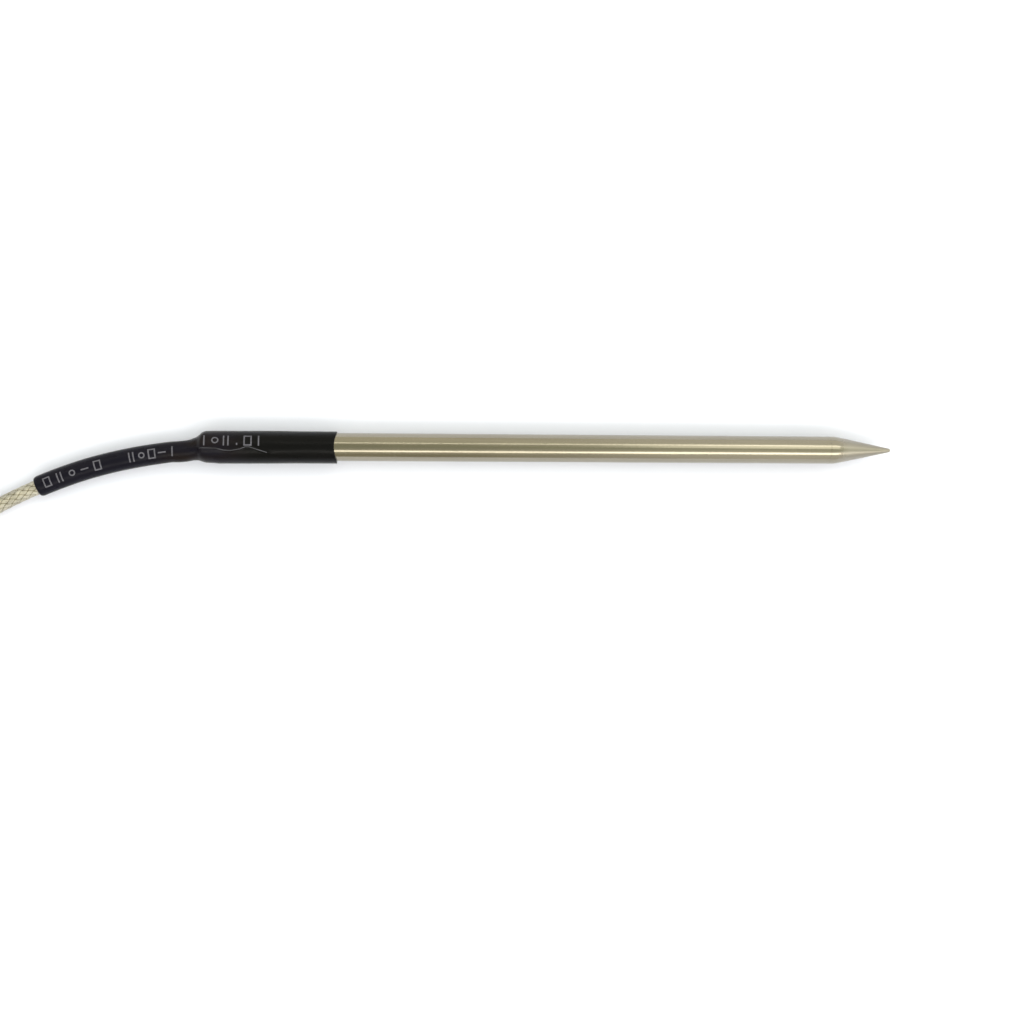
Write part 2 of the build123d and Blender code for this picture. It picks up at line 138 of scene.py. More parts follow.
# the loops fan out a little where nothing ties them
ROUND_END_STRETCH = [1.03, 0.98, 0.95, 1.06, 1.0, 1.02, 1.05]
LAST_TURN = (9.1, 5.42)  # radius and height at which the lead leaves for its breakout


# ---------------------------------------------------------------- colours, properties
def linear(hex_code):
    """The linear colour of an sRGB hex code such as "#8a7f6b"."""
    channels = [int(hex_code[i : i + 2], 16) / 255 for i in (1, 3, 5)]
    return tuple(c / 12.92 if c <= 0.04045 else ((c + 0.055) / 1.055) ** 2.4 for c in channels)


def size_property(name, description, default):
    return FloatProperty(
        name=name, description=description, default=default, min=0, unit="LENGTH", precision=5
    )


def colour_property(name, description, hex_code):
    return FloatVectorProperty(
        name=name, description=description, default=linear(hex_code), min=0, max=1, size=3, subtype="COLOR"
    )


SHEATH_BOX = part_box("sheath_tube")
POINT_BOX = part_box("needle_tip")
SLEEVE_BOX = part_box("transition_sleeve")


class ProbeSizes(bpy.types.PropertyGroup):
    """Sizes of the pieces."""

    sheath_diameter: size_property(
        "Sheath diameter", "Outside the bare stem", SHEATH_BOX[1].z - SHEATH_BOX[0].z
    )
    sheath_wall: size_property("Sheath wall", "Thickness of the tube", 0.5 * MM)
    mouth_diameter: size_property("Mouth diameter", "Outside the tube under the black sleeve", 3.6 * MM)
    nose_radius: size_property("Nose radius", "Of the rounded end of the point", 0.3 * MM)
    shoulder_radius: size_property("Shoulder radius", "Blend between the cylinder and the cone", 5.0 * MM)
    sleeve_height: size_property("Sleeve height", "Of the oval black sleeve on the sheath", 4.688 * MM)
    sleeve_lead_diameter: size_property("Thin end of the sleeve", "Its diameter on the lead", 2.94 * MM)
    sleeve_dish: size_property("Sleeve dish", "Depth of the curve in the front edge", 0.45 * MM)
    lead_diameter: size_property("Lead diameter", "Across the crowns of the braid", 2.1 * MM)
    braid_lay: size_property("Braid lay", "Length of lead for one turn of a strand", 11.0 * MM)
    braid_strands: IntProperty(
        name="Braid strands", description="Strands that turn each way", default=8, min=4
    )
    tail_diameter: size_property("Tail diameter", "Across the glass-yarn covering of a wire", 1.0 * MM)
    tail_lay: size_property("Tail lay", "Length of tail for one turn of a yarn", 5.0 * MM)
    terminal_sleeve_diameter: size_property("Terminal sleeve diameter", "Outside the vinyl sleeve", 3.8 * MM)


class ProbeColours(bpy.types.PropertyGroup):
    """Colours of the pieces."""

    steel: colour_property("Steel", "Drawn stainless steel", "#979182")
    point_steel: colour_property("Point steel", "Ground stainless steel", "#9b968b")
    shrink: colour_property("Heat-shrink", "Black polyolefin", "#0a0a0b")
    shrink_warm: colour_property("Warm heat-shrink", "Where heat has given a brown cast", "#1a1413")
    shrink_cool: colour_property("Cool heat-shrink", "On the lead, where the black is bluish", "#12111b")
    # painted highlight: the pale grey of the line laid along the crest of the sleeve's crease
    crease_highlight: colour_property("Crease", "Where the heat-shrink is stretched", "#47474d")
    print_grey: colour_property("Print", "Grey ink on the sleeve", "#5e5d67")
    braid: colour_property("Braid", "Tinned braid wire", "#cdc8ba")
    # painted shade: the dark olive put in the gaps between the braid's strands
    braid_gap_shade: colour_property("Braid gap", "Tarnish between the strands", "#776f52")
    red_yarn: colour_property("Red yarn", "Dyed glass yarn of the positive tail", "#b3261e")
    blue_yarn: colour_property("Blue yarn", "Dyed glass yarn of the negative tail", "#2347a4")
    red_vinyl: colour_property("Red vinyl", "Sleeve of the positive terminal", "#c0201c")
    blue_vinyl: colour_property("Blue vinyl", "Sleeve of the negative terminal", "#1f4fb5")
    nylon: colour_property("Nylon", "Black cable tie", "#1c1c1e")
    tin: colour_property("Tin", "Tin plate on the terminals", "#bcbcb6")


# ---------------------------------------------------------------- smooth lines
def smooth_line(name, route, resolution):
    """The points down a NURBS spline that has the route's points as its control points."""
    curve = bpy.data.curves.new(name, "CURVE")
    curve.dimensions = "3D"
    curve.resolution_u = resolution
    spline = curve.splines.new("NURBS")
    spline.points.add(len(route) - 1)
    for point, place in zip(spline.points, route):
        point.co = (*(Vector(place) * MM), 1)
    spline.order_u = 3
    spline.use_endpoint_u = True
    holder = bpy.data.objects.new(name, curve)
    bare = bpy.data.meshes.new_from_object(holder)
    points = np.array([vert.co for vert in bare.vertices])
    bpy.data.objects.remove(holder)
    bpy.data.curves.remove(curve)
    bpy.data.meshes.remove(bare)
    return points


class Line:
    """A smooth line through space with two axes square to it, which are carried along without twist."""

    def __init__(self, points):
        self.points = points
        steps = np.linalg.norm(np.diff(points, axis=0), axis=1)
        self.along = np.concatenate([[0], np.cumsum(steps)])
        self.length = float(self.along[-1])
        directions = np.gradient(points, axis=0)
        directions /= np.linalg.norm(directions, axis=1)[:, None]
        self.first = np.empty_like(points)
        axis = np.array([0.0, 0.0, 1.0])
        for i, direction in enumerate(directions):
            axis = axis - direction * (axis @ direction)
            axis /= np.linalg.norm(axis)
            self.first[i] = axis
        self.second = np.cross(directions, self.first)

    def read(self, rows, distances):
        """Values kept for the line's points, read at distances from its start."""
        return np.stack([np.interp(distances, self.along, rows[:, k]) for k in range(3)], axis=1)

    def round_it(self, angles, distances, radii):
        """Places at a radius and an angle round the line. Angle 0 is upwards."""
        across = np.cos(angles)[:, None] * self.read(self.first, distances)
        across += np.sin(angles)[:, None] * self.read(self.second, distances)
        return self.read(self.points, distances) + np.asarray(radii)[:, None] * across


def smooth_step(value, start, end):
    """0 before start, 1 after end, and an even S between."""
    share = np.clip((value - start) / (end - start), 0, 1)
    return share * share * (3 - 2 * share)


# ---------------------------------------------------------------- mesh tools
def rolled_grid(columns, stations, place, uv_length, capped):
    """A grid rolled into a tube. place(angles, stations) gives its corners. Its UV runs round and along."""
    rows = len(stations) - 1
    bm = bmesh.new()
    uv = bm.loops.layers.uv.new("UVMap")
    bmesh.ops.create_grid(bm, x_segments=columns, y_segments=rows, size=0.5)
    bm.verts.index_update()
    flat = np.array([vert.co[:2] for vert in bm.verts])
    share = (flat - flat.min(axis=0)) / np.ptp(flat, axis=0)
    station = np.asarray(stations, float)[np.rint(share[:, 1] * rows).astype(int)]
    texture = np.column_stack([share[:, 0], station / uv_length]).tolist()
    for face in bm.faces:
        for loop in face.loops:
            loop[uv].uv = texture[loop.vert.index]
    for vert, spot in zip(bm.verts, place(share[:, 0] * math.tau, station).tolist()):
        vert.co = spot
    rim = {vert for edge in bm.edges if edge.is_boundary for vert in edge.verts}
    bmesh.ops.remove_doubles(bm, verts=list(rim), dist=WELD)
    if capped:
        bmesh.ops.holes_fill(bm, edges=[edge for edge in bm.edges if edge.is_boundary], sides=0)
    bmesh.ops.recalc_face_normals(bm, faces=bm.faces)
    return bm


def lathe(profile, steps, closed, y=0.0, z=0.0):
    """A solid turned about a line along X. The profile is places along and out from that line."""
    bm = bmesh.new()
    corners = [bm.verts.new((along, 0, out)) for along, out in profile]
    edges = [bm.edges.new(pair) for pair in zip(corners, corners[1:])]
    if closed:
        edges.append(bm.edges.new((corners[-1], corners[0])))
    bmesh.ops.spin(
        bm, geom=corners + edges, cent=(0, 0, 0), axis=(1, 0, 0), angle=math.tau, steps=steps, use_merge=True
    )
    bmesh.ops.remove_doubles(bm, verts=bm.verts, dist=WELD)
    bmesh.ops.recalc_face_normals(bm, faces=bm.faces)
    bmesh.ops.translate(bm, vec=(0, y, z), verts=bm.verts)
    return bm


def arc(centre, radius, start, end, steps):
    """Places on an arc, from one angle to another in degrees."""
    angles = np.radians(np.linspace(start, end, steps + 1))
    return [(centre[0] + radius * math.cos(a), centre[1] + radius * math.sin(a)) for a in angles]


def merged_copy(node):
    """A CAD node's mesh as one skin of flat faces, for a piece with softer edges."""
    bm = bmesh.new()
    bm.from_mesh(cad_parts[node].data)
    bmesh.ops.remove_doubles(bm, verts=bm.verts, dist=10 * WELD)
    bmesh.ops.dissolve_limit(bm, angle_limit=math.radians(1), verts=bm.verts, edges=bm.edges)
    return bm


def soften(bm, angle, width, segments):
    """Rounds each edge that is sharper than the angle."""
    sharp = [e for e in bm.edges if len(e.link_faces) == 2 and e.calc_face_angle() > math.radians(angle)]
    bmesh.ops.bevel(
        bm,
        geom=sharp,
        offset=width,
        offset_type="OFFSET",
        segments=segments,
        profile=0.5,
        affect="EDGES",
        clamp_overlap=True,
        material=-1,
    )


def to_piece(name, bm, material, stands_for=()):
    """Makes the finished bmesh a piece of the object, in its place."""
    mesh = bpy.data.meshes.new(name)
    bm.to_mesh(mesh)
    bm.free()
    mesh.materials.append(material)
    mesh.shade_smooth()
    mesh.set_sharp_from_angle(angle=math.radians(40))
    piece = bpy.data.objects.new(name, mesh)
    bpy.context.scene.collection.objects.link(piece)
    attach(piece, "root")
    if stands_for:
        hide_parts(*stands_for)
    return piece


# ---------------------------------------------------------------- material tools
def add_node(tree, kind, inputs=None, **settings):
    """One node with its settings. Each input is a value or another node's output."""
    made = tree.nodes.new(kind)
    for key, value in settings.items():
        setattr(made, key, value)
    for key, value in (inputs or {}).items():
        if isinstance(value, bpy.types.NodeSocket):
            tree.links.new(value, made.inputs[key])
        else:
            made.inputs[key].default_value = value
    return made


def new_material(name, **values):
    """A material with a Principled shader, and the shader's fixed values."""
    material = bpy.data.materials.new(name)
    material.use_nodes = True
    tree = material.node_tree
    tree.nodes.clear()
    inputs = {key.replace("_", " "): value for key, value in values.items()}
    shader = add_node(tree, "ShaderNodeBsdfPrincipled", inputs)
    add_node(tree, "ShaderNodeOutputMaterial", {"Surface": shader.outputs["BSDF"]})
    return material, tree, shader


def speckle(tree, size, low=0.0, high=1.0, detail=3.0):
    """A value that varies in patches between low and high. Their size along X, Y and Z is in millimetres."""
    place = add_node(tree, "ShaderNodeTexCoord").outputs["Object"]
    scale = tuple(1 / (s * MM) for s in size)
    scaled = add_node(tree, "ShaderNodeMapping", {"Vector": place, "Scale": scale})
    noise = add_node(
        tree, "ShaderNodeTexNoise", {"Vector": scaled.outputs[0], "Scale": 1.0, "Detail": detail}
    )
    ranged = add_node(
        tree,
        "ShaderNodeMapRange",
        {"Value": noise.outputs[0], "From Min": 0.3, "From Max": 0.7, "To Min": low, "To Max": high},
    )
    return ranged.outputs[0]


def along_x(tree, start, end):
    """A value that goes from 0 to 1 between two places along X."""
    place = add_node(tree, "ShaderNodeTexCoord").outputs["Object"]
    x = add_node(tree, "ShaderNodeSeparateXYZ", {0: place}).outputs[0]
    ranged = add_node(
        tree,
        "ShaderNodeMapRange",
        {"Value": x, "From Min": start, "From Max": end},
        interpolation_type="SMOOTHSTEP",
    )
    return ranged.outputs[0]


def blend_colours(tree, share, first, second):
    """A colour between two, by a share."""
    mixed = add_node(tree, "ShaderNodeMix", {0: share, 6: (*first, 1), 7: (*second, 1)}, data_type="RGBA")
    return mixed.outputs[2]


def add_relief(tree, shader, height, depth, strength=1.0):
    """Bump of the given depth from a height between 0 and 1, over any bump that is there."""
    links = shader.inputs["Normal"].links
    inputs = {"Height": height, "Distance": depth, "Strength": strength}
    if links:
        inputs["Normal"] = links[0].from_socket
    bump = add_node(tree, "ShaderNodeBump", inputs)
    tree.links.new(bump.outputs[0], shader.inputs["Normal"])


def shade(colour, factor):
    """A darker or lighter version of a colour."""
    return tuple(min(1.0, c * factor) for c in colour)


def two_tones(tree, shader, colour, dark, light, size):
    """Gives the surface a darker and a lighter tone of its colour, in patches."""
    tones = blend_colours(tree, speckle(tree, size), shade(colour, dark), shade(colour, light))
    tree.links.new(tones, shader.inputs["Base Color"])


def uneven_gloss(tree, shader, low, high, size):
    """Gives the surface a roughness that varies in patches."""
    tree.links.new(speckle(tree, size, low, high), shader.inputs["Roughness"])


# ---------------------------------------------------------------- materials
def stainless(name, colour, ground_colour, grind_start, grind_end):
    """Stainless steel. Drawn and polished, it has faint die lines that stretch each highlight along it.

    Towards +X, from grind_start to grind_end, it turns into a ground finish whose rings spread highlights.
    """
    material, tree, shader = new_material(name, Metallic=1.0)
    ground = along_x(tree, grind_start, grind_end)
    tint = speckle(tree, (14, 0.9, 0.9))
    drawn = blend_colours(tree, tint, shade(colour, 0.94), shade(colour, 1.05))
    rubbed = blend_colours(tree, tint, shade(ground_colour, 0.94), shade(ground_colour, 1.04))
    both = add_node(tree, "ShaderNodeMix", {0: ground, 6: drawn, 7: rubbed}, data_type="RGBA")
    tree.links.new(both.outputs[2], shader.inputs["Base Color"])
    polish = speckle(tree, (9, 0.25, 0.25), 0.15, 0.21)
    rings = speckle(tree, (0.25, 5, 5), 0.30, 0.38)
    roughness = add_node(tree, "ShaderNodeMix", {0: ground, 2: polish, 3: rings}, data_type="FLOAT")
    tree.links.new(roughness.outputs[0], shader.inputs["Roughness"])
    # die lines are 0.02 mm apart on the real tube, and are drawn 0.12 mm apart so that they show
    add_relief(tree, shader, speckle(tree, (40, 0.12, 0.12), detail=1.0), 0.0006 * MM)
    # grinding rings 0.03 mm apart on the real point, drawn 0.09 mm apart
    ring_height = speckle(tree, (0.09, 9, 9), detail=1.0)
    height = add_node(tree, "ShaderNodeMath", {0: ring_height, 1: ground}, operation="MULTIPLY")
    add_relief(tree, shader, height.outputs[0], 0.0012 * MM)
    return material


def shrunk_polyolefin(colours):
    """Heat-shrunk polyolefin: deep black with a satin pebbled skin, brownish at the neck, bluish beyond."""
    material, tree, shader = new_material("heat_shrunk_polyolefin", IOR=1.49)
    shader.inputs["Specular IOR Level"].default_value = 0.1
    patches = speckle(tree, (5, 1.8, 1.8))
    on_sheath = along_x(tree, -17 * MM, -11 * MM)
    past_lead = along_x(tree, -27 * MM, -21 * MM)
    near_neck = add_node(tree, "ShaderNodeMath", {0: patches, 1: past_lead}, operation="MULTIPLY")
    warmed = blend_colours(tree, near_neck.outputs[0], colours.shrink_cool, colours.shrink_warm)
    tone = add_node(
        tree, "ShaderNodeMix", {0: on_sheath, 6: warmed, 7: (*colours.shrink, 1)}, data_type="RGBA"
    )
    tree.links.new(tone.outputs[2], shader.inputs["Base Color"])
    uneven_gloss(tree, shader, 0.24, 0.34, (3, 0.8, 0.8))
    # moulded pebbles about 0.15 mm across, and slow ripples from uneven shrinking
    add_relief(tree, shader, speckle(tree, (0.16, 0.16, 0.16)), 0.003 * MM)
    add_relief(tree, shader, speckle(tree, (4.5, 1.6, 1.6), detail=1.0), 0.03 * MM)
    return material


def marking_ink(colour):
    """Grey marking ink: matt, thin, and a little worn on the high spots."""
    material, tree, shader = new_material("grey_marking_ink", Roughness=0.6)
    two_tones(tree, shader, colour, 0.62, 1.0, (0.35, 0.35, 0.35))
    return material


def crest_highlight_polyolefin(colour):
    """Painted highlight along the crest of a ridge in the polyolefin: a paler grey line, greyer and duller
    in patches.
    """
    material, tree, shader = new_material("crest_highlight_polyolefin", Roughness=0.5)
    shader.inputs["Specular IOR Level"].default_value = 0.2
    two_tones(tree, shader, colour, 0.45, 1.3, (1.3, 0.5, 0.5))
    return material


def braided(name, colour, gap_shade_colour, strands, fibres, metallic, roughness, fibre_depth):
    """A braid of flat strands, each of a few fibres side by side. One unit of its UV is a turn and a lay."""
    material, tree, shader = new_material(name, Metallic=metallic)

    def calculate(operation, *values):
        return add_node(tree, "ShaderNodeMath", dict(enumerate(values)), operation=operation).outputs[0]

    on_surface = add_node(tree, "ShaderNodeUVMap", uv_map="UVMap")
    spot = add_node(tree, "ShaderNodeSeparateXYZ", {0: on_surface.outputs[0]})
    turn, lays = spot.outputs[0], spot.outputs[1]
    right_hand = calculate("MULTIPLY", calculate("ADD", turn, lays), strands)
    left_hand = calculate("MULTIPLY", calculate("SUBTRACT", turn, lays), strands)
    waves = [calculate("SINE", calculate("MULTIPLY", hand, math.pi)) for hand in (right_hand, left_hand)]
    right_on_top = calculate("GREATER_THAN", calculate("MULTIPLY", *waves), 0)
    right_share, left_share = calculate("FRACT", right_hand), calculate("FRACT", left_hand)
    across = calculate(
        "ADD",
        calculate("MULTIPLY", right_share, right_on_top),
        calculate("MULTIPLY", left_share, calculate("SUBTRACT", 1.0, right_on_top)),
    )
    from_middle = calculate("ABSOLUTE", calculate("SUBTRACT", across, 0.5))
    # painted shade: the darker gap colour comes in over the outer part of each strand, where the strands
    # shade one another
    in_gap_shade = calculate("MULTIPLY", calculate("SUBTRACT", from_middle, 0.32), 6.0)
    in_gap_shade = calculate("MINIMUM", calculate("MAXIMUM", in_gap_shade, 0.0), 1.0)
    tone = speckle(tree, (0.9, 0.9, 0.9), 0.72, 1.08)
    tones = add_node(tree, "ShaderNodeCombineXYZ", {0: tone, 1: tone, 2: tone})
    body = blend_colours(tree, in_gap_shade, colour, gap_shade_colour)
    toned = add_node(
        tree, "ShaderNodeVectorMath", {0: body, 1: tones.outputs[0]}, operation="MULTIPLY"
    )
    tree.links.new(toned.outputs[0], shader.inputs["Base Color"])
    uneven_gloss(tree, shader, roughness - 0.07, roughness + 0.09, (0.5, 0.5, 0.5))
    ridges = calculate("SINE", calculate("MULTIPLY", across, math.tau * fibres))
    add_relief(tree, shader, calculate("MULTIPLY_ADD", ridges, 0.5, 0.5), fibre_depth)
    return material


def braid_wire(colours, sizes):
    """Tinned wire braid: bright cream-silver strands of five fine wires, with painted shade in the gaps
    between them.
    """
    return braided(
        "tinned_wire_braid",
        colours.braid,
        colours.braid_gap_shade,
        strands=sizes.braid_strands,
        fibres=5,
        metallic=1.0,
        roughness=0.34,
        fibre_depth=0.03 * MM,
    )


def glass_yarn(pole, colour):
    """Dyed and varnished glass yarn: soft, with fine ribs and painted shade in the gaps."""
    return braided(
        f"{POLES[pole]}_glass_yarn_braid",
        colour,
        # painted shade in the gaps: a darker copy of the yarn's colour
        shade(colour, 0.35),
        strands=TAIL_STRANDS,
        fibres=3,
        metallic=0.0,
        roughness=0.62,
        fibre_depth=0.02 * MM,
    )


def moulded_nylon(colour):
    """Moulded black nylon: a waxy satin skin with a fine spark-eroded grain."""
    material, tree, shader = new_material("moulded_black_nylon", IOR=1.53)
    two_tones(tree, shader, colour, 0.8, 1.25, (2, 2, 2))
    uneven_gloss(tree, shader, 0.38, 0.5, (0.6, 0.6, 0.6))
    add_relief(tree, shader, speckle(tree, (0.12, 0.12, 0.12)), 0.006 * MM)
    return material


def dipped_vinyl(pole, colour):
    """Soft vinyl: a saturated colour under a smooth half-gloss skin, with a trace of flow marks."""
    material, tree, shader = new_material(f"{POLES[pole]}_soft_vinyl", IOR=1.54)
    shader.inputs["Subsurface Weight"].default_value = 0.08
    shader.inputs["Subsurface Scale"].default_value = 0.4 * MM
    two_tones(tree, shader, colour, 0.88, 1.05, (1.5, 1.5, 1.5))
    uneven_gloss(tree, shader, 0.26, 0.36, (1, 1, 1))
    add_relief(tree, shader, speckle(tree, (2.5, 0.5, 0.5)), 0.01 * MM)
    return material


def tin_plate(colour):
    """Tin-plated copper, stamped: a soft white metal with faint rolling lines and dull patches."""
    material, tree, shader = new_material("tin_plated_copper", Metallic=1.0)
    two_tones(tree, shader, colour, 0.86, 1.04, (1.2, 1.2, 1.2))
    uneven_gloss(tree, shader, 0.22, 0.38, (0.8, 0.8, 0.8))
    add_relief(tree, shader, speckle(tree, (3, 0.1, 0.1)), 0.004 * MM)
    return material


# The pieces inside keep their CAD shape. A finish is its colour, metallic, roughness, and its grain and its
# bump in millimetres.
INNER_FINISHES = {
    "extruded_alumina": ("#efe9da", 0.0, 0.62, 0.12, 0.006),
    "magnesia_cement": ("#c9c3b4", 0.0, 0.9, 0.25, 0.05),
    "cured_epoxy": ("#8f7440", 0.0, 0.18, 0.9, 0.01),
    "drawn_thermocouple_wire": ("#b4b1a8", 1.0, 0.35, 0.08, 0.003),
    "welded_bead": ("#a5a29a", 1.0, 0.42, 0.3, 0.02),
    "crimped_nickel_tube": ("#bdbab0", 1.0, 0.33, 0.2, 0.006),
    "natural_glass_sleeving": ("#e6dfc8", 0.0, 0.75, 0.14, 0.03),
    "braid_under_the_sleeve": ("#cfc8b2", 1.0, 0.4, 0.3, 0.05),
}
INNER_NODES = {
    "ceramic_insulator_1": "extruded_alumina",
    "ceramic_insulator_2": "extruded_alumina",
    "ceramic_insulator_3": "extruded_alumina",
    "junction_cement": "magnesia_cement",
    "mouth_seal": "cured_epoxy",
    "hot_junction": "welded_bead",
    "jacket_entry": "natural_glass_sleeving",
    "braid_entry": "braid_under_the_sleeve",
}
POLE_NODES = {
    "element": "drawn_thermocouple_wire",
    "conductor": "drawn_thermocouple_wire",
    "tail_end": "drawn_thermocouple_wire",
    "splice": "crimped_nickel_tube",
    "splice_sleeve": "natural_glass_sleeving",
    "core_insulation": "natural_glass_sleeving",
}


def inner_material(name):
    """A plain finish with its own grain, for a piece that is inside."""
    hex_code, metallic, roughness, grain, depth = INNER_FINISHES[name]
    material, tree, shader = new_material(name, Metallic=metallic)
    size = (grain,) * 3
    two_tones(tree, shader, linear(hex_code), 0.85, 1.05, size)
    uneven_gloss(tree, shader, roughness * 0.85, roughness * 1.1, size)
    add_relief(tree, shader, speckle(tree, size), depth * MM)
    return material


# ---------------------------------------------------------------- camera, floor and lights
CAMERA_AIM = (24.93, -9.195, 0.0)  # millimetres
CAMERA_DISTANCE = 209.9
CAMERA_YAW = 6.47  # degrees from straight down, towards the point
CAMERA_ROLL = 0.08
CAMERA_LENS = 51.3
# The room round the probe, by the direction in degrees from straight up towards +Y. First as it is beside
# the black sleeve, and then as it is towards +X. A polished bar shows it as soft bands along its length.
ROOM = [
    (-180, (1.05, 1.04, 1.00)),
    (-112, (1.05, 1.03, 0.95)),
    (-94, (0.80, 0.77, 0.62)),
    (-80, (0.50, 0.47, 0.34)),
    (-64, (0.52, 0.49, 0.36)),
    (-52, (0.74, 0.70, 0.55)),
    (-14, (0.60, 0.60, 0.47)),
    (4, (0.52, 0.53, 0.39)),
    (19, (0.58, 0.57, 0.42)),
    (34, (0.92, 0.91, 0.72)),
    (60, (1.00, 0.97, 0.78)),
    (180, (1.08, 1.06, 1.00)),
]
FAR_ROOM = [
    (-180, (1.08, 1.07, 1.02)),
    (-70, (1.10, 1.08, 1.00)),
    (-52, (1.15, 1.13, 1.02)),
    (-14, (0.98, 0.98, 0.84)),
    (2, (0.80, 0.82, 0.62)),
    (14, (1.00, 1.02, 0.82)),
    (60, (1.20, 1.18, 1.08)),
    (180, (1.12, 1.10, 1.05)),
]
FAR_START, FAR_END = 0.06, 0.29  # the way's share along X where the far room comes in
LIGHT_TINT = (1.0, 0.975, 0.90)
STRIP_DISTANCE = 0.7
# Strip lights: angle and spread in degrees, brightness, and their two ends along X in metres.
STRIP_LIGHTS = {
    "main_strip": (-35.5, 12, 2.7, -0.75, 0.6),
    "main_strip_end": (-33, 17, 0.9, 0.17, 0.6),
    "thin_strip": (32, 4.5, 1.9, -0.75, 0.6),
    "wide_patch": (23, 31, 0.95, 0.19, 0.6),
}
# Panels past the point, which light its cone: place, length, width, brightness.
PANELS = {
    "end_panel": ((0.85, -0.3, 0.52), 0.5, 0.22, 1.4),
    "weak_end_panel": ((0.85, 0.2, 0.52), 0.5, 0.2, 0.9),
}
PANEL_AIM = (0.077, 0, 0)  # on the cone
FILL_HEIGHT, FILL_SIDE, FILL_BRIGHTNESS = 1.2, 1.6, 0.62
FILL_TINT = (0.84, 0.92, 1.0)
FLOOR_COLOURS = ("#e9ebf8", "#ecedfa")
FLOOR_GAP = 0.02 * MM  # the floor is this far below what lies on it


def add_camera(scene):
    """A camera above the probe, which leans a little towards the point."""
    yaw, roll = math.radians(CAMERA_YAW), math.radians(CAMERA_ROLL)
    forward = Vector((math.sin(yaw), 0, -math.cos(yaw)))
    right, up = forward.cross(Vector((0, 1, 0))), Vector((0, 1, 0))
    turned_right = math.cos(roll) * right + math.sin(roll) * up
    turned_up = math.cos(roll) * up - math.sin(roll) * right
    data = bpy.data.cameras.new("camera")
    data.lens = CAMERA_LENS
    data.sensor_width = 36
    data.clip_start = 10 * MM
    camera = bpy.data.objects.new("camera", data)
    axes = Matrix((turned_right, turned_up, -forward)).transposed()
    camera.matrix_world = axes.to_4x4()
    camera.location = Vector(CAMERA_AIM) * MM - forward * CAMERA_DISTANCE * MM
    scene.collection.objects.link(camera)
    scene.camera = camera


def add_area_light(name, place, aim, length, width, brightness, shown_in_gloss=True):
    """A rectangular light. Its brightness is what a mirror would show.

    An area light of one square metre that a mirror shows at 1 has a power of 4.
    """
    data = bpy.data.lights.new(name, "AREA")
    data.shape = "RECTANGLE"
    data.size, data.size_y = length, width
    data.energy = 4 * length * width * brightness
    data.color = LIGHT_TINT
    light = bpy.data.objects.new(name, data)
    light.location = place
    facing = (Vector(aim) - Vector(place)).to_track_quat("-Z", "Y")
    light.rotation_mode = "QUATERNION"
    light.rotation_quaternion = facing
    light.visible_glossy = shown_in_gloss
    bpy.context.scene.collection.objects.link(light)
    return light


def add_strip_light(name, angle, spread, brightness, low_x, high_x):
    """A long light along X that a polished cylinder shows as one line. Angle and spread are in degrees."""
    tilt = math.radians(angle)
    width = 2 * STRIP_DISTANCE * math.tan(math.radians(spread / 2))
    place = Vector(((low_x + high_x) / 2, STRIP_DISTANCE * math.sin(tilt), STRIP_DISTANCE * math.cos(tilt)))
    light = add_area_light(name, place, (place.x, 0, 0), high_x - low_x, width, brightness)
    light.rotation_quaternion = Matrix.Rotation(-tilt, 3, "X").to_quaternion()


def colour_ramp(tree, share, stops):
    """A ramp of colours over the whole turn, from its stops in degrees."""
    ramp = add_node(tree, "ShaderNodeValToRGB", {"Fac": share})
    elements = ramp.color_ramp.elements
    while len(elements) < len(stops):
        elements.new(0.5)
    for element, (degrees, colour) in zip(elements, stops):
        element.position = (degrees + 180) / 360
        element.color = (*colour, 1)
    return ramp.outputs[0]


def add_room(scene):
    """A room that is brightest at its sides and dim overhead."""
    world = bpy.data.worlds.new("room")
    world.use_nodes = True
    tree = world.node_tree
    tree.nodes.clear()
    way = add_node(tree, "ShaderNodeTexCoord").outputs["Generated"]
    parts = add_node(tree, "ShaderNodeSeparateXYZ", {0: way})
    angle = add_node(tree, "ShaderNodeMath", {0: parts.outputs[1], 1: parts.outputs[2]}, operation="ARCTAN2")
    share = add_node(
        tree, "ShaderNodeMapRange", {"Value": angle.outputs[0], "From Min": -math.pi, "From Max": math.pi}
    )
    far = add_node(
        tree,
        "ShaderNodeMapRange",
        {"Value": parts.outputs[0], "From Min": FAR_START, "From Max": FAR_END},
        interpolation_type="SMOOTHSTEP",
    )
    ramps = [colour_ramp(tree, share.outputs[0], stops) for stops in (ROOM, FAR_ROOM)]
    mixed = add_node(tree, "ShaderNodeMix", {0: far.outputs[0], 6: ramps[0], 7: ramps[1]}, data_type="RGBA")
    light = add_node(tree, "ShaderNodeBackground", {"Color": mixed.outputs[2], "Strength": 1.0})
    add_node(tree, "ShaderNodeOutputWorld", {"Surface": light.outputs[0]})
    scene.world = world


def add_floor():
    """A plain pale floor under the probe."""
    bm = bmesh.new()
    bmesh.ops.create_grid(bm, x_segments=1, y_segments=1, size=2.0)
    bmesh.ops.translate(bm, vec=(0, 0, FLOOR_Z - FLOOR_GAP), verts=bm.verts)
    mesh = bpy.data.meshes.new("floor")
    bm.to_mesh(mesh)
    bm.free()
    material, tree, shader = new_material("pale_matt_board", Roughness=0.9)
    shader.inputs["Specular IOR Level"].default_value = 0.0
    first, second = (linear(hex_code) for hex_code in FLOOR_COLOURS)
    tones = blend_colours(tree, speckle(tree, (90, 90, 90)), first, second)
    tree.links.new(tones, shader.inputs["Base Color"])
    mesh.materials.append(material)
    floor = bpy.data.objects.new("floor", mesh)
    bpy.context.scene.collection.objects.link(floor)


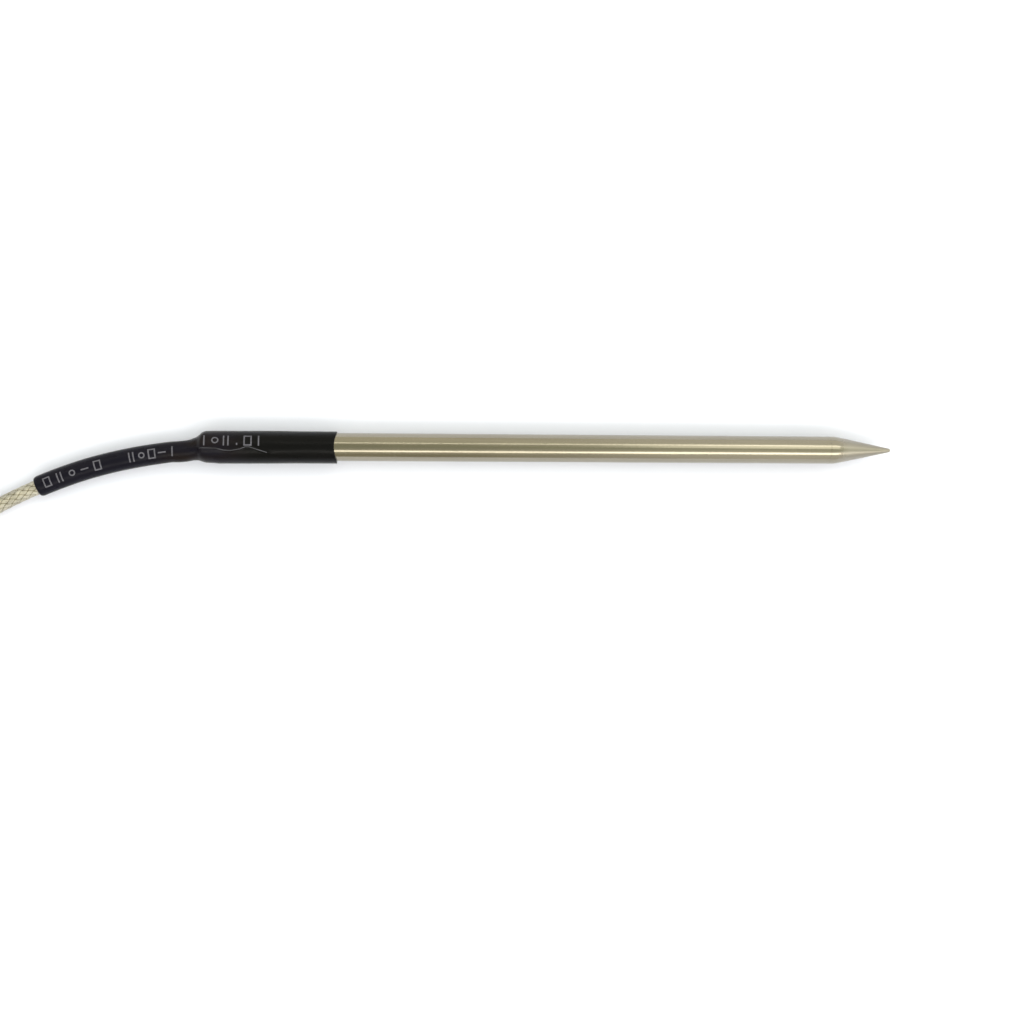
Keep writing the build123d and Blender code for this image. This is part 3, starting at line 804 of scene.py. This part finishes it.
class THERMOPROBE_OT_stage(bpy.types.Operator):
    """Make the camera, the floor and the studio lights"""

    bl_idname = "thermoprobe.make_stage"
    bl_label = "Camera, floor and lights"

    def execute(self, context):
        add_camera(context.scene)
        add_floor()
        add_room(context.scene)
        for name, (angle, spread, brightness, low_x, high_x) in STRIP_LIGHTS.items():
            add_strip_light(name, angle, spread, brightness, low_x, high_x)
        for name, (place, length, width, brightness) in PANELS.items():
            add_area_light(name, place, PANEL_AIM, length, width, brightness)
        above = (0, 0, FILL_HEIGHT)
        fill = add_area_light("fill", above, (0, 0, 0), FILL_SIDE, FILL_SIDE, FILL_BRIGHTNESS, False)
        fill.data.color = FILL_TINT
        context.scene.view_settings.view_transform = "Standard"
        return {"FINISHED"}


# ---------------------------------------------------------------- lead
def side_points(reach, height, side, heading):
    """Control points along one side of the folded lead, drawn in and lifted towards the tie."""
    points = []
    for share in (-2, -1, 0, 1, 2):
        x = heading * share * HANK_HALF_RUN / 3
        drawn_in = (1 + math.cos(math.pi * x / HANK_HALF_RUN)) / 2
        y = side * (reach - HANK_PINCH * drawn_in)
        points.append((HANK_CENTRE[0] + x, HANK_CENTRE[1] + y, height + TIE_THICKNESS * drawn_in))
    return points


def round_end_point(end, angle, radius, stretch, height):
    """A control point on a round end. The end is 1 at the right and -1 at the left."""
    x = end * HANK_HALF_RUN + stretch * radius * math.cos(math.radians(angle))
    return (HANK_CENTRE[0] + x, HANK_CENTRE[1] + radius * math.sin(math.radians(angle)), height)


def lead_route():
    """Control points from the sleeve to the breakout: the free run, seven turns, the way out over them."""
    places = [(radius, HANK_BOTTOM_Z + layer * LAYER_HEIGHT) for radius, layer in TURNS]
    places.append(LAST_TURN)
    route = list(FREE_ROUTE)
    for turn, stretch in enumerate(ROUND_END_STRETCH):
        radius, height = places[turn]
        next_radius, next_height = places[turn + 1]
        route += side_points(radius, height, -1, -1)
        for angle in (270, 225, 180, 135, 90):
            outside = 1.0 if angle in (270, 90) else 1 / math.cos(math.radians(22.5))
            route.append(round_end_point(-1, angle, radius * outside, stretch, height))
        route += side_points(radius, height, 1, 1)
        # On the way round the right end each turn moves to the next one's place, the last turn first.
        start = 120 - 20 * turn
        for passed in np.arange(0, 181, 22.5):
            share = float(smooth_step(passed, start, start + 50))
            outside = 1.0 if passed in (0, 180) else 1 / math.cos(math.radians(11.25))
            here = radius + share * (next_radius - radius)
            lift = height + share * (next_height - height)
            route.append(round_end_point(1, 90 - passed, here * outside, stretch, lift))
    route[-1] = BREAKOUT_ROUTE[0]
    route.append(LEAD_END)
    return route


def braid_relief(turn, lays, strands, thickness, lift):
    """How far the braid's surface is below its crowns. Its strands cross over and under by turns."""
    fill = 0.455  # half of a strand's width, as a share of the space that it has

    def strand(share):
        return np.sqrt(np.clip(1 - ((share % 1 - 0.5) / fill) ** 2, 0, 1))

    right, left = strands * (turn + lays), strands * (turn - lays)
    over = np.where(np.floor(right) % 2 == 0, 1, -1) * np.sin(math.pi * left)
    under = np.where(np.floor(left) % 2 == 0, 1, -1) * np.sin(math.pi * right)
    right_height = thickness * (strand(right) - 1) + lift * over
    left_height = thickness * (strand(left) - 1) - lift * under
    return np.maximum(right_height, left_height) - lift


def braided_tube(line, diameter, lay, strands, columns, stations, thickness, lift):
    """A braid with real strands, rolled round a line."""

    def place(angles, distances):
        relief = braid_relief(angles / math.tau, distances / lay, strands, thickness, lift)
        return line.round_it(angles, distances, diameter / 2 + relief)

    return rolled_grid(columns, stations, place, lay, capped=True)


class THERMOPROBE_OT_lead(bpy.types.Operator):
    """Make the braided lead, from the black sleeve through its folded length to the breakout"""

    bl_idname = "thermoprobe.make_lead"
    bl_label = "Braided lead"

    def execute(self, context):
        sizes, colours = context.scene.probe_sizes, context.scene.probe_colours
        line = Line(smooth_line("lead_line", lead_route(), 20))
        fine_end = 12 * MM  # the stretch beside the black sleeve is the one seen closest
        row = sizes.braid_lay / 32
        fine = np.arange(0, fine_end, row / 2)
        coarse = np.linspace(fine_end, line.length, round((line.length - fine_end) / row))
        bm = braided_tube(
            line,
            sizes.lead_diameter,
            sizes.braid_lay,
            sizes.braid_strands,
            columns=32,
            stations=np.concatenate([fine, coarse]),
            thickness=0.16 * MM,
            lift=0.055 * MM,
        )
        piece = to_piece(
            "braided_lead", bm, braid_wire(colours, sizes), ("lead_free_run", "lead_hank")
        )
        return {"FINISHED"}


# ---------------------------------------------------------------- tails
class THERMOPROBE_OT_tails(bpy.types.Operator):
    """Make the two insulated wires, from the breakout to the terminals"""

    bl_idname = "thermoprobe.make_tails"
    bl_label = "Tails"

    def execute(self, context):
        sizes, colours = context.scene.probe_sizes, context.scene.probe_colours
        for pole, colour in (("positive", colours.red_yarn), ("negative", colours.blue_yarn)):
            line = Line(smooth_line(f"{pole}_tail_line", TAIL_ROUTES[pole], 24))
            stations = np.linspace(0, line.length, round(line.length / (sizes.tail_lay / 32)))
            bm = braided_tube(
                line,
                sizes.tail_diameter,
                sizes.tail_lay,
                TAIL_STRANDS,
                columns=24,
                stations=stations,
                thickness=0.035 * MM,
                lift=0.012 * MM,
            )
            piece = to_piece(
                f"{pole}_yarn_tail",
                bm,
                glass_yarn(pole, colour),
                (f"{pole}_tail",),
            )
        return {"FINISHED"}


# ---------------------------------------------------------------- sheath and point
class THERMOPROBE_OT_sheath(bpy.types.Operator):
    """Make the stainless tube and its ground point"""

    bl_idname = "thermoprobe.make_sheath"
    bl_label = "Sheath and point"

    def execute(self, context):
        sizes, colours = context.scene.probe_sizes, context.scene.probe_colours
        radius, bore = sizes.sheath_diameter / 2, sizes.sheath_diameter / 2 - sizes.sheath_wall
        mouth_x, seam_x = SHEATH_BOX[0].x, SHEATH_BOX[1].x
        full_x, chamfer = -BARE_REACH, 0.02 * MM
        tube = [
            (mouth_x, bore),
            (mouth_x, sizes.mouth_diameter / 2 - chamfer),
            (mouth_x + chamfer, sizes.mouth_diameter / 2),
            (full_x, sizes.mouth_diameter / 2),
            (full_x, radius - chamfer),
            (full_x + chamfer, radius),
        ]
        tube += [(x, radius) for x in np.linspace(full_x + chamfer, seam_x - chamfer, 24)[1:]]
        tube += [(seam_x, radius - chamfer), (seam_x, bore)]
        to_piece(
            "probe_sheath",
            lathe(tube, 160, closed=True),
            stainless("drawn_polished_stainless_tube", colours.steel, colours.steel, 1.0, 2.0),
            ("sheath_tube",),
        )
        to_piece(
            "probe_point",
            lathe(point_profile(sizes, radius, bore, seam_x, chamfer), 160, closed=False),
            stainless("ground_stainless_point", colours.steel, colours.point_steel, 72.4 * MM, 74.6 * MM),
            ("needle_tip",),
        )
        return {"FINISHED"}


def point_profile(sizes, radius, bore, seam_x, chamfer):
    """The outline of the point: pocket, spigot, short cylinder, blended shoulder, cone and nose."""
    half_angle = math.radians(11.6)
    tip_x, spigot_x = POINT_BOX[1].x, POINT_BOX[0].x
    pocket, pocket_depth, drill_angle = 1.0 * MM, 6.0 * MM, math.radians(59)
    nose_centre = tip_x - sizes.nose_radius
    nose_edge_x = nose_centre + sizes.nose_radius * math.sin(half_angle)
    nose_edge = sizes.nose_radius * math.cos(half_angle)
    shoulder_x = nose_edge_x - (radius - nose_edge) / math.tan(half_angle)
    blend = sizes.shoulder_radius * math.tan(half_angle / 2)
    shoulder = arc((shoulder_x - blend, radius - sizes.shoulder_radius), sizes.shoulder_radius, 90, 78.4, 8)
    cone_x, cone_radius = shoulder[-1]
    cone = [
        (cone_x + share * (nose_edge_x - cone_x), cone_radius + share * (nose_edge - cone_radius))
        for share in np.linspace(0, 1, 10)[1:-1]
    ]
    return [
        (spigot_x + pocket_depth + pocket / math.tan(drill_angle), 0),
        (spigot_x + pocket_depth, pocket),
        (spigot_x, pocket),
        (spigot_x, bore),
        (seam_x, bore),
        (seam_x, radius - chamfer),
        (seam_x + chamfer, radius),
        *shoulder,
        *cone,
        *arc((nose_centre, 0), sizes.nose_radius, 78.4, 0, 8),
    ]


# ---------------------------------------------------------------- black sleeve and its print
NECK_START = 18.6 * MM  # from the front face, along the sleeve
BARE_REACH = 0.7 * MM  # the stem's full diameter goes this far in under the dished front edge
# The sleeve's outline from above: distance from the front, and its two edges across, in millimetres.
SLEEVE_OUTLINE = [
    (0, 2.19, -2.365),
    (5.3, 2.185, -2.36),
    (8.1, 2.22, -2.39),
    (10.9, 2.21, -2.415),
    (13.6, 2.185, -2.43),
    (16.4, 2.17, -2.445),
    (17.25, 2.164, -2.384),
    (17.8, 2.158, -2.357),
    (18.1, 2.155, -2.333),
    (18.35, 2.148, -2.314),
    (18.6, 2.075, -2.245),
    (18.9, 1.937, -2.16),
    (19.3, 1.567, -2.024),
    (19.7, 1.288, -1.997),
    (20.15, 1.106, -2.021),
    (20.55, 0.951, -2.1),
    (20.95, 0.845, -2.162),
    (21.4, 0.783, -2.225),
    (21.95, 0.714, -2.273),
    (22.5, 0.648, -2.336),
    (23.3, 0.547, -2.412),
]
SHRINK_CREASE = [  # distance from the front, offset across and height, in millimetres
    (20.4, -0.30, 0.0),
    (19.1, -0.31, 0.03),
    (18.0, -0.33, 0.06),
    (16.85, -0.36, 0.07),
    (16.35, -0.48, 0.02),
    (15.8, -0.62, 0.04),
    (14.8, -0.66, 0.08),
    (13.5, -0.44, 0.1),
    (12.75, -0.14, 0.11),
    (12.2, -0.16, 0.11),
    (11.1, -0.51, 0.09),
    (9.85, -0.90, 0.06),
    (8.65, -1.15, 0.0),
]
CREASE_SPREAD = 0.13 * MM  # half of the ridge's width
CREASE_HIGHLIGHT_WIDTH = 0.12 * MM  # of the painted highlight line on its crest
FOLD_DEPTH = 0.025 * MM
SLEEVE_OVERHANG = 0.22 * MM  # past the end of the sleeve's line
LEAD_WAY = np.array([-0.9, -0.4, -0.05])  # the lead's direction there


def sleeve_line():
    """The middle of the black sleeve: the sheath's axis as far as its mouth, and then the lead's line."""
    lead = smooth_line("entry_line", ENTRY_ROUTE, 32)
    order = np.argsort(lead[:, 0])
    xs = np.linspace(0, lead[-1, 0], 400)
    on_lead = np.stack([np.interp(xs, lead[order, 0], lead[order, k]) for k in (1, 2)], axis=1)
    share = smooth_step(-xs, NECK_START, NECK_START + 2.4 * MM)[:, None]
    line = Line(np.column_stack([xs, on_lead * share]))
    # round the neck the sleeve's sections stay square to the sheath, not to the lead
    square = (1 - smooth_step(line.along, 21 * MM, 27 * MM))[:, None]
    line.second = square * np.array([0.0, 1.0, 0.0]) + (1 - square) * line.second
    line.first = square * np.array([0.0, 0.0, 1.0]) + (1 - square) * line.first
    return line


def sleeve_outside(sizes, line, angles, distances):
    """The sleeve's outer radius. It steps down off the sheath's mouth, later on one side than the other."""
    along, upper_edge, lower_edge = (np.array(column) * MM for column in zip(*SLEEVE_OUTLINE))
    middle = line.read(line.points, distances)[:, 1]
    thin = sizes.sleeve_lead_diameter / 2
    on_lead = smooth_step(distances, along[-3], along[-1])
    upper = (np.interp(distances, along, upper_edge) - middle) * (1 - on_lead) + thin * on_lead
    lower = (middle - np.interp(distances, along, lower_edge)) * (1 - on_lead) + thin * on_lead
    across = np.sin(angles)
    radius = (upper + lower) / 2 + across * (upper - lower) / 2
    on_sheath = 1 - smooth_step(distances, NECK_START, NECK_START + MM)
    oval = (sizes.sleeve_height - upper - lower) / 2 * on_sheath
    radius = radius + np.cos(angles) ** 2 * oval
    crease_s, crease_y, crease_h = (np.array(column) * MM for column in zip(*SHRINK_CREASE[::-1]))
    offset = middle + radius * across - np.interp(distances, crease_s, crease_y)
    height = np.interp(distances, crease_s, crease_h, left=0, right=0)
    on_top = smooth_step(np.cos(angles), 0.0, 0.2)
    radius = radius + on_top * height * np.exp(-((offset / CREASE_SPREAD) ** 2))
    # long shallow folds where the sleeve has shrunk over the mouth's edge
    folds = smooth_step(distances, NECK_START - 5 * MM, NECK_START) * (
        1 - smooth_step(distances, NECK_START + 2 * MM, NECK_START + 5 * MM)
    )
    ripple = np.sin(5 * angles + 1.3) * np.sin(distances / (1.1 * MM))
    return radius + FOLD_DEPTH * folds * on_top * ripple


def sleeve_front(sizes, angles, distances):
    """Distances moved so that the front edge is drawn back in the middle of its upper and lower sides."""
    reach = 3 * MM
    return distances + sizes.sleeve_dish * np.cos(angles) ** 2 * (1 - smooth_step(distances, 0, reach))


class THERMOPROBE_OT_sleeve(bpy.types.Operator):
    """Make the black heat-shrink sleeve and the marks printed on it"""

    bl_idname = "thermoprobe.make_sleeve"
    bl_label = "Black sleeve"

    def execute(self, context):
        sizes, colours = context.scene.probe_sizes, context.scene.probe_colours
        line = sleeve_line()
        front, back = -SLEEVE_BOX[1].x, line.length + SLEEVE_OVERHANG
        front_round = 0.12 * MM
        back_round, back_drop = 0.6 * MM, 0.32 * MM
        quarter = np.radians(np.linspace(0, 90, 7))
        outside = np.arange(front + front_round, back - back_round, 0.15 * MM)
        inside = np.linspace(back, front, 40)
        # each row: how far along, how far below the outer skin, and whether it is in the bore
        rows = [(front, front_round, 0)]
        rows += [
            (front + front_round * (1 - math.cos(a)), front_round * (1 - math.sin(a)), 0)
            for a in quarter[1:-1]
        ]
        rows += [(s, 0, 0) for s in outside]
        rows += [(back - back_round * (1 - math.sin(a)), back_drop * (1 - math.cos(a)), 0) for a in quarter]
        rows += [(s, 0, 1) for s in inside]
        rows.append(rows[0])
        table = np.array(rows)

        def place(angles, numbers):
            row = table[np.rint(numbers).astype(int)]
            distances = sleeve_front(sizes, angles, row[:, 0])
            outer = sleeve_outside(sizes, line, angles, distances) - row[:, 1]
            marks = [0, BARE_REACH, BARE_REACH + 0.02 * MM, NECK_START + 0.1 * MM, NECK_START + 2.2 * MM]
            widths = [sizes.sheath_diameter] * 2 + [sizes.mouth_diameter] * 2 + [sizes.lead_diameter]
            bore = np.interp(distances, marks, widths) / 2
            beyond = np.maximum(distances - line.length, 0)[:, None] * LEAD_WAY
            return line.round_it(angles, distances, np.where(row[:, 2] > 0, bore, outer)) + beyond

        bm = rolled_grid(180, np.arange(len(rows)), place, 1.0, capped=False)
        to_piece(
            "shrink_sleeve",
            bm,
            shrunk_polyolefin(colours),
            ("transition_sleeve",),
        )
        for name, draw, material in (
            ("sleeve_print", draw_marks, marking_ink(colours.print_grey)),
            # the crease gets a thin strip of painted highlight along its crest
            ("sleeve_crease_highlight", draw_crease_highlight, crest_highlight_polyolefin(colours.crease_highlight)),
        ):
            bm = bmesh.new()
            draw(bm)
            to_piece(name, laid_on_sleeve(bm, sizes, line, INK_THICKNESS), material)
        return {"FINISHED"}


# Marks as groups: distance of the group's middle from the front, its offset across, the marks' height and
# pitch, all in millimetres, and the marks from left to right.
PRINT_GROUPS = [
    (14.7, 0.80, 1.4, 1.5, ["bar", "ring", "bars", "dot", "box", "bar"]),
    (25.8, 0.05, 1.25, 1.4, ["bars", "ring", "box", "dash", "bar"]),
    (36.95, 0.0, 1.25, 1.8, ["box", "bars", "ring", "dash", "box"]),
]
STROKE = 0.19 * MM
INK_THICKNESS = 0.008 * MM


def mark_strokes(kind):
    """The strokes of a mark in a box of height 1: pairs of ends."""
    side = 0.34
    corners = [(-side, -0.5), (side, -0.5), (side, 0.5), (-side, 0.5)]
    shapes = {
        "bar": [((0, -0.5), (0, 0.5))],
        "bars": [((-0.22, -0.5), (-0.22, 0.5)), ((0.22, -0.5), (0.22, 0.5))],
        "dash": [((-0.36, 0), (0.36, 0))],
        "dot": [((0, -0.44), (0, -0.36))],
        "box": list(zip(corners, corners[1:] + corners[:1])),
    }
    return shapes[kind]


def add_stroke(bm, start, end, width):
    """A flat bar between two places, cut finely enough to bend round the sleeve."""
    start, end = Vector(start), Vector(end)
    run = end - start
    moved = Matrix.Translation(((start + end) / 2).to_3d())
    turned = moved @ Matrix.Rotation(math.atan2(run.y, run.x), 4, "Z")
    sized = turned @ Matrix.Diagonal((run.length + width, width, 1, 1))
    bmesh.ops.create_grid(bm, x_segments=8, y_segments=2, size=0.5, matrix=sized)


def add_ring(bm, centre, radius):
    """A flat ring."""
    made = bmesh.ops.create_circle(
        bm, segments=28, radius=radius, matrix=Matrix.Translation((*centre, 0)), cap_ends=False
    )
    rim = {edge for vert in made["verts"] for edge in vert.link_edges}
    grown = bmesh.ops.extrude_edge_only(bm, edges=list(rim))["geom"]
    inner = [item for item in grown if isinstance(item, bmesh.types.BMVert)]
    share = 1 - STROKE / radius
    to_centre = Matrix.Translation((-centre[0], -centre[1], 0))
    bmesh.ops.scale(bm, vec=(share, share, 1), space=to_centre, verts=inner)


def draw_marks(bm):
    """The printed groups, laid out flat."""
    for middle, offset, height, pitch, kinds in PRINT_GROUPS:
        for number, kind in enumerate(kinds):
            tall = height * MM
            x = (middle + ((len(kinds) - 1) / 2 - number) * pitch) * MM
            centre = (x, offset * MM)
            if kind == "ring":
                add_ring(bm, centre, 0.36 * tall)
                continue
            for start, end in mark_strokes(kind):
                ends = [(centre[0] + a * tall, centre[1] + b * tall) for a, b in (start, end)]
                add_stroke(bm, *ends, STROKE)


def draw_crease_highlight(bm):
    """The painted highlight on the crease's crest, as a fine broken line, laid out flat."""
    crest = [(along * MM, across * MM) for along, across, height in SHRINK_CREASE if height > 0.025]
    for start, end in zip(crest, crest[1:]):
        add_stroke(bm, start, end, CREASE_HIGHLIGHT_WIDTH)


def laid_on_sleeve(bm, sizes, line, thickness):
    """Thickens what is drawn flat, and lays it round the sleeve."""
    skin = bmesh.ops.extrude_face_region(bm, geom=bm.faces[:])["geom"]
    raised = [item for item in skin if isinstance(item, bmesh.types.BMVert)]
    bmesh.ops.translate(bm, vec=(0, 0, thickness), verts=raised)
    bmesh.ops.translate(bm, vec=(0, 0, 0.3 * thickness), verts=bm.verts)
    flat = np.array([vert.co for vert in bm.verts])
    distances = flat[:, 0]
    level = sleeve_outside(sizes, line, np.zeros(len(flat)), distances)
    angles = flat[:, 1] / level
    radii = sleeve_outside(sizes, line, angles, distances) + flat[:, 2]
    for vert, spot in zip(bm.verts, line.round_it(angles, distances, radii).tolist()):
        vert.co = spot
    bmesh.ops.recalc_face_normals(bm, faces=bm.faces)
    return bm


# ---------------------------------------------------------------- tie, breakout and terminals
class THERMOPROBE_OT_tie(bpy.types.Operator):
    """Make the cable tie round the folded lead"""

    bl_idname = "thermoprobe.make_tie"
    bl_label = "Cable tie"

    def execute(self, context):
        colours = context.scene.probe_colours
        bm = merged_copy("hank_tie")
        face = max(bm.faces, key=lambda f: f.calc_center_median().y if abs(f.normal.y) > 0.9 else -1)
        bmesh.ops.inset_region(bm, faces=[face], thickness=0.75 * MM, depth=0, use_even_offset=True)
        sunk = bmesh.ops.extrude_face_region(bm, geom=[face])["geom"]
        bottom = [item for item in sunk if isinstance(item, bmesh.types.BMVert)]
        bmesh.ops.translate(bm, vec=(0, -0.5 * MM, 0), verts=bottom)
        bmesh.ops.delete(bm, geom=[face], context="FACES")
        bmesh.ops.recalc_face_normals(bm, faces=bm.faces)
        soften(bm, 50, 0.16 * MM, 3)
        to_piece("hank_cable_tie", bm, moulded_nylon(colours.nylon), ("hank_tie",))
        return {"FINISHED"}


class THERMOPROBE_OT_breakout(bpy.types.Operator):
    """Make the heat-shrink where the braid ends and the two wires come out"""

    bl_idname = "thermoprobe.make_breakout"
    bl_label = "Breakout"

    def execute(self, context):
        sizes, colours = context.scene.probe_sizes, context.scene.probe_colours
        ends = np.array(BREAKOUT_ROUTE) * MM
        line = Line(ends[0] + np.linspace(0, 1, 60)[:, None] * (ends[1] - ends[0]))
        rounding, wall = 0.3 * MM, 0.36 * MM
        quarter = np.radians(np.linspace(0, 90, 5))
        rows = [(rounding * (1 - math.cos(a)), rounding * (1 - math.sin(a)), 0) for a in quarter]
        rows += [(s, 0, 0) for s in np.linspace(rounding, line.length - rounding, 56)[1:-1]]
        rows += [
            (line.length - rounding * (1 - math.sin(a)), rounding * (1 - math.cos(a)), 0) for a in quarter
        ]
        rows += [(s, 0, 1) for s in np.linspace(line.length, 0, 20)]
        rows.append(rows[0])
        table = np.array(rows)

        def place(angles, numbers):
            row = table[np.rint(numbers).astype(int)]
            narrowed = smooth_step(row[:, 0], 4.3 * MM, 6.2 * MM)
            flat_half = (1.45 - 0.5 * narrowed) * MM
            wide_half = (1.45 - 0.12 * narrowed) * MM
            bumps = 0.02 * MM * np.sin(3 * angles + row[:, 0] / (0.9 * MM)) * (1 - narrowed)
            outer = 1 / np.hypot(np.cos(angles) / flat_half, np.sin(angles) / wide_half) + bumps
            radii = np.where(row[:, 2] > 0, outer - wall - 0.04 * MM, outer - row[:, 1])
            return line.round_it(angles, row[:, 0], radii)

        bm = rolled_grid(48, np.arange(len(rows)), place, 1.0, capped=False)
        to_piece(
            "breakout_shrink",
            bm,
            bpy.data.materials["heat_shrunk_polyolefin"],
            ("breakout_sleeve",),
        )
        return {"FINISHED"}


class THERMOPROBE_OT_terminals(bpy.types.Operator):
    """Make the fork terminals and their vinyl sleeves"""

    bl_idname = "thermoprobe.make_terminals"
    bl_label = "Terminals"

    def execute(self, context):
        sizes, colours = context.scene.probe_sizes, context.scene.probe_colours
        plating = tin_plate(colours.tin)
        for pole, colour in (("positive", colours.red_vinyl), ("negative", colours.blue_vinyl)):
            bm = merged_copy(f"{pole}_terminal")
            soften(bm, 40, 0.09 * MM, 2)
            to_piece(f"{pole}_fork_terminal", bm, plating, (f"{pole}_terminal",))
            to_piece(
                f"{pole}_vinyl_sleeve",
                vinyl_sleeve(sizes, pole),
                dipped_vinyl(pole, colour),
                (f"{pole}_terminal_sleeve",),
            )
        return {"FINISHED"}


def vinyl_sleeve(sizes, pole):
    """A tube with a flared mouth, dented where the crimping tool pressed it."""
    low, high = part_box(f"{pole}_terminal_sleeve")
    y, z = (low.y + high.y) / 2, (low.z + high.z) / 2
    outer, on_barrel, on_wire = sizes.terminal_sleeve_diameter / 2, 1.3 * MM, 1.0 * MM
    barrel_x, mouth_x, end_x = TAIL_ROUTES[pole][-1][0] * MM, high.x, low.x
    edge = 0.22 * MM
    skin = [(x, outer) for x in np.linspace(mouth_x - edge, end_x + edge, 26)]
    profile = [
        (mouth_x, 1.45 * MM),
        (mouth_x, outer - edge),
        *skin,
        (end_x + 0.3 * edge, outer - 0.3 * edge),
        (end_x, outer - edge),
        (end_x, on_barrel),
        (barrel_x, on_barrel),
        (barrel_x, on_wire),
        (mouth_x - 1.5 * MM, on_wire),
    ]
    bm = lathe(profile, 48, closed=True, y=y, z=z)
    dent_x = barrel_x - 1.9 * MM
    for vert in bm.verts:
        up, side = vert.co.z - z, vert.co.y - y
        if math.hypot(up, side) > outer - 0.5 * edge:
            share = math.exp(-(((vert.co.x - dent_x) / (0.85 * MM)) ** 2) - (side / (1.0 * MM)) ** 2)
            vert.co.z -= math.copysign(0.3 * MM * share, up)
    return bm


# ---------------------------------------------------------------- pieces inside
class THERMOPROBE_OT_inner_finishes(bpy.types.Operator):
    """Give the pieces inside, which keep their CAD shape, their materials"""

    bl_idname = "thermoprobe.finish_inner_pieces"
    bl_label = "Inner pieces"

    def execute(self, context):
        made = {name: inner_material(name) for name in INNER_FINISHES}
        finishes = dict(INNER_NODES)
        for pole in POLES:
            finishes.update({f"{pole}_{piece}": finish for piece, finish in POLE_NODES.items()})
        for node, finish in finishes.items():
            for material_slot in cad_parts[node].material_slots:
                material_slot.material = made[finish]
        return {"FINISHED"}


class THERMOPROBE_PT_panel(bpy.types.Panel):
    """The pieces of the probe, in the order in which they are made"""

    bl_idname = "THERMOPROBE_PT_panel"
    bl_label = "Needle probe"
    bl_space_type = "VIEW_3D"
    bl_region_type = "UI"
    bl_category = "Probe"

    def draw(self, context):
        for group in (context.scene.probe_sizes, context.scene.probe_colours):
            for name in group.__annotations__:
                self.layout.prop(group, name)
        for operator in OPERATORS:
            self.layout.operator(operator.bl_idname)


OPERATORS = [
    THERMOPROBE_OT_stage,
    THERMOPROBE_OT_sheath,
    THERMOPROBE_OT_sleeve,
    THERMOPROBE_OT_tie,
    THERMOPROBE_OT_breakout,
    THERMOPROBE_OT_terminals,
    THERMOPROBE_OT_lead,
    THERMOPROBE_OT_tails,
    THERMOPROBE_OT_inner_finishes,
]
CLASSES = [ProbeSizes, ProbeColours, *OPERATORS, THERMOPROBE_PT_panel]


def register():
    for cls in CLASSES:
        bpy.utils.register_class(cls)
    bpy.types.Scene.probe_sizes = PointerProperty(type=ProbeSizes)
    bpy.types.Scene.probe_colours = PointerProperty(type=ProbeColours)


def unregister():
    del bpy.types.Scene.probe_colours
    del bpy.types.Scene.probe_sizes
    for cls in reversed(CLASSES):
        bpy.utils.unregister_class(cls)


def main():
    register()
    for operator in OPERATORS:
        module, name = operator.bl_idname.split(".")
        getattr(getattr(bpy.ops, module), name)()


if __name__ == "__main__":
    main()
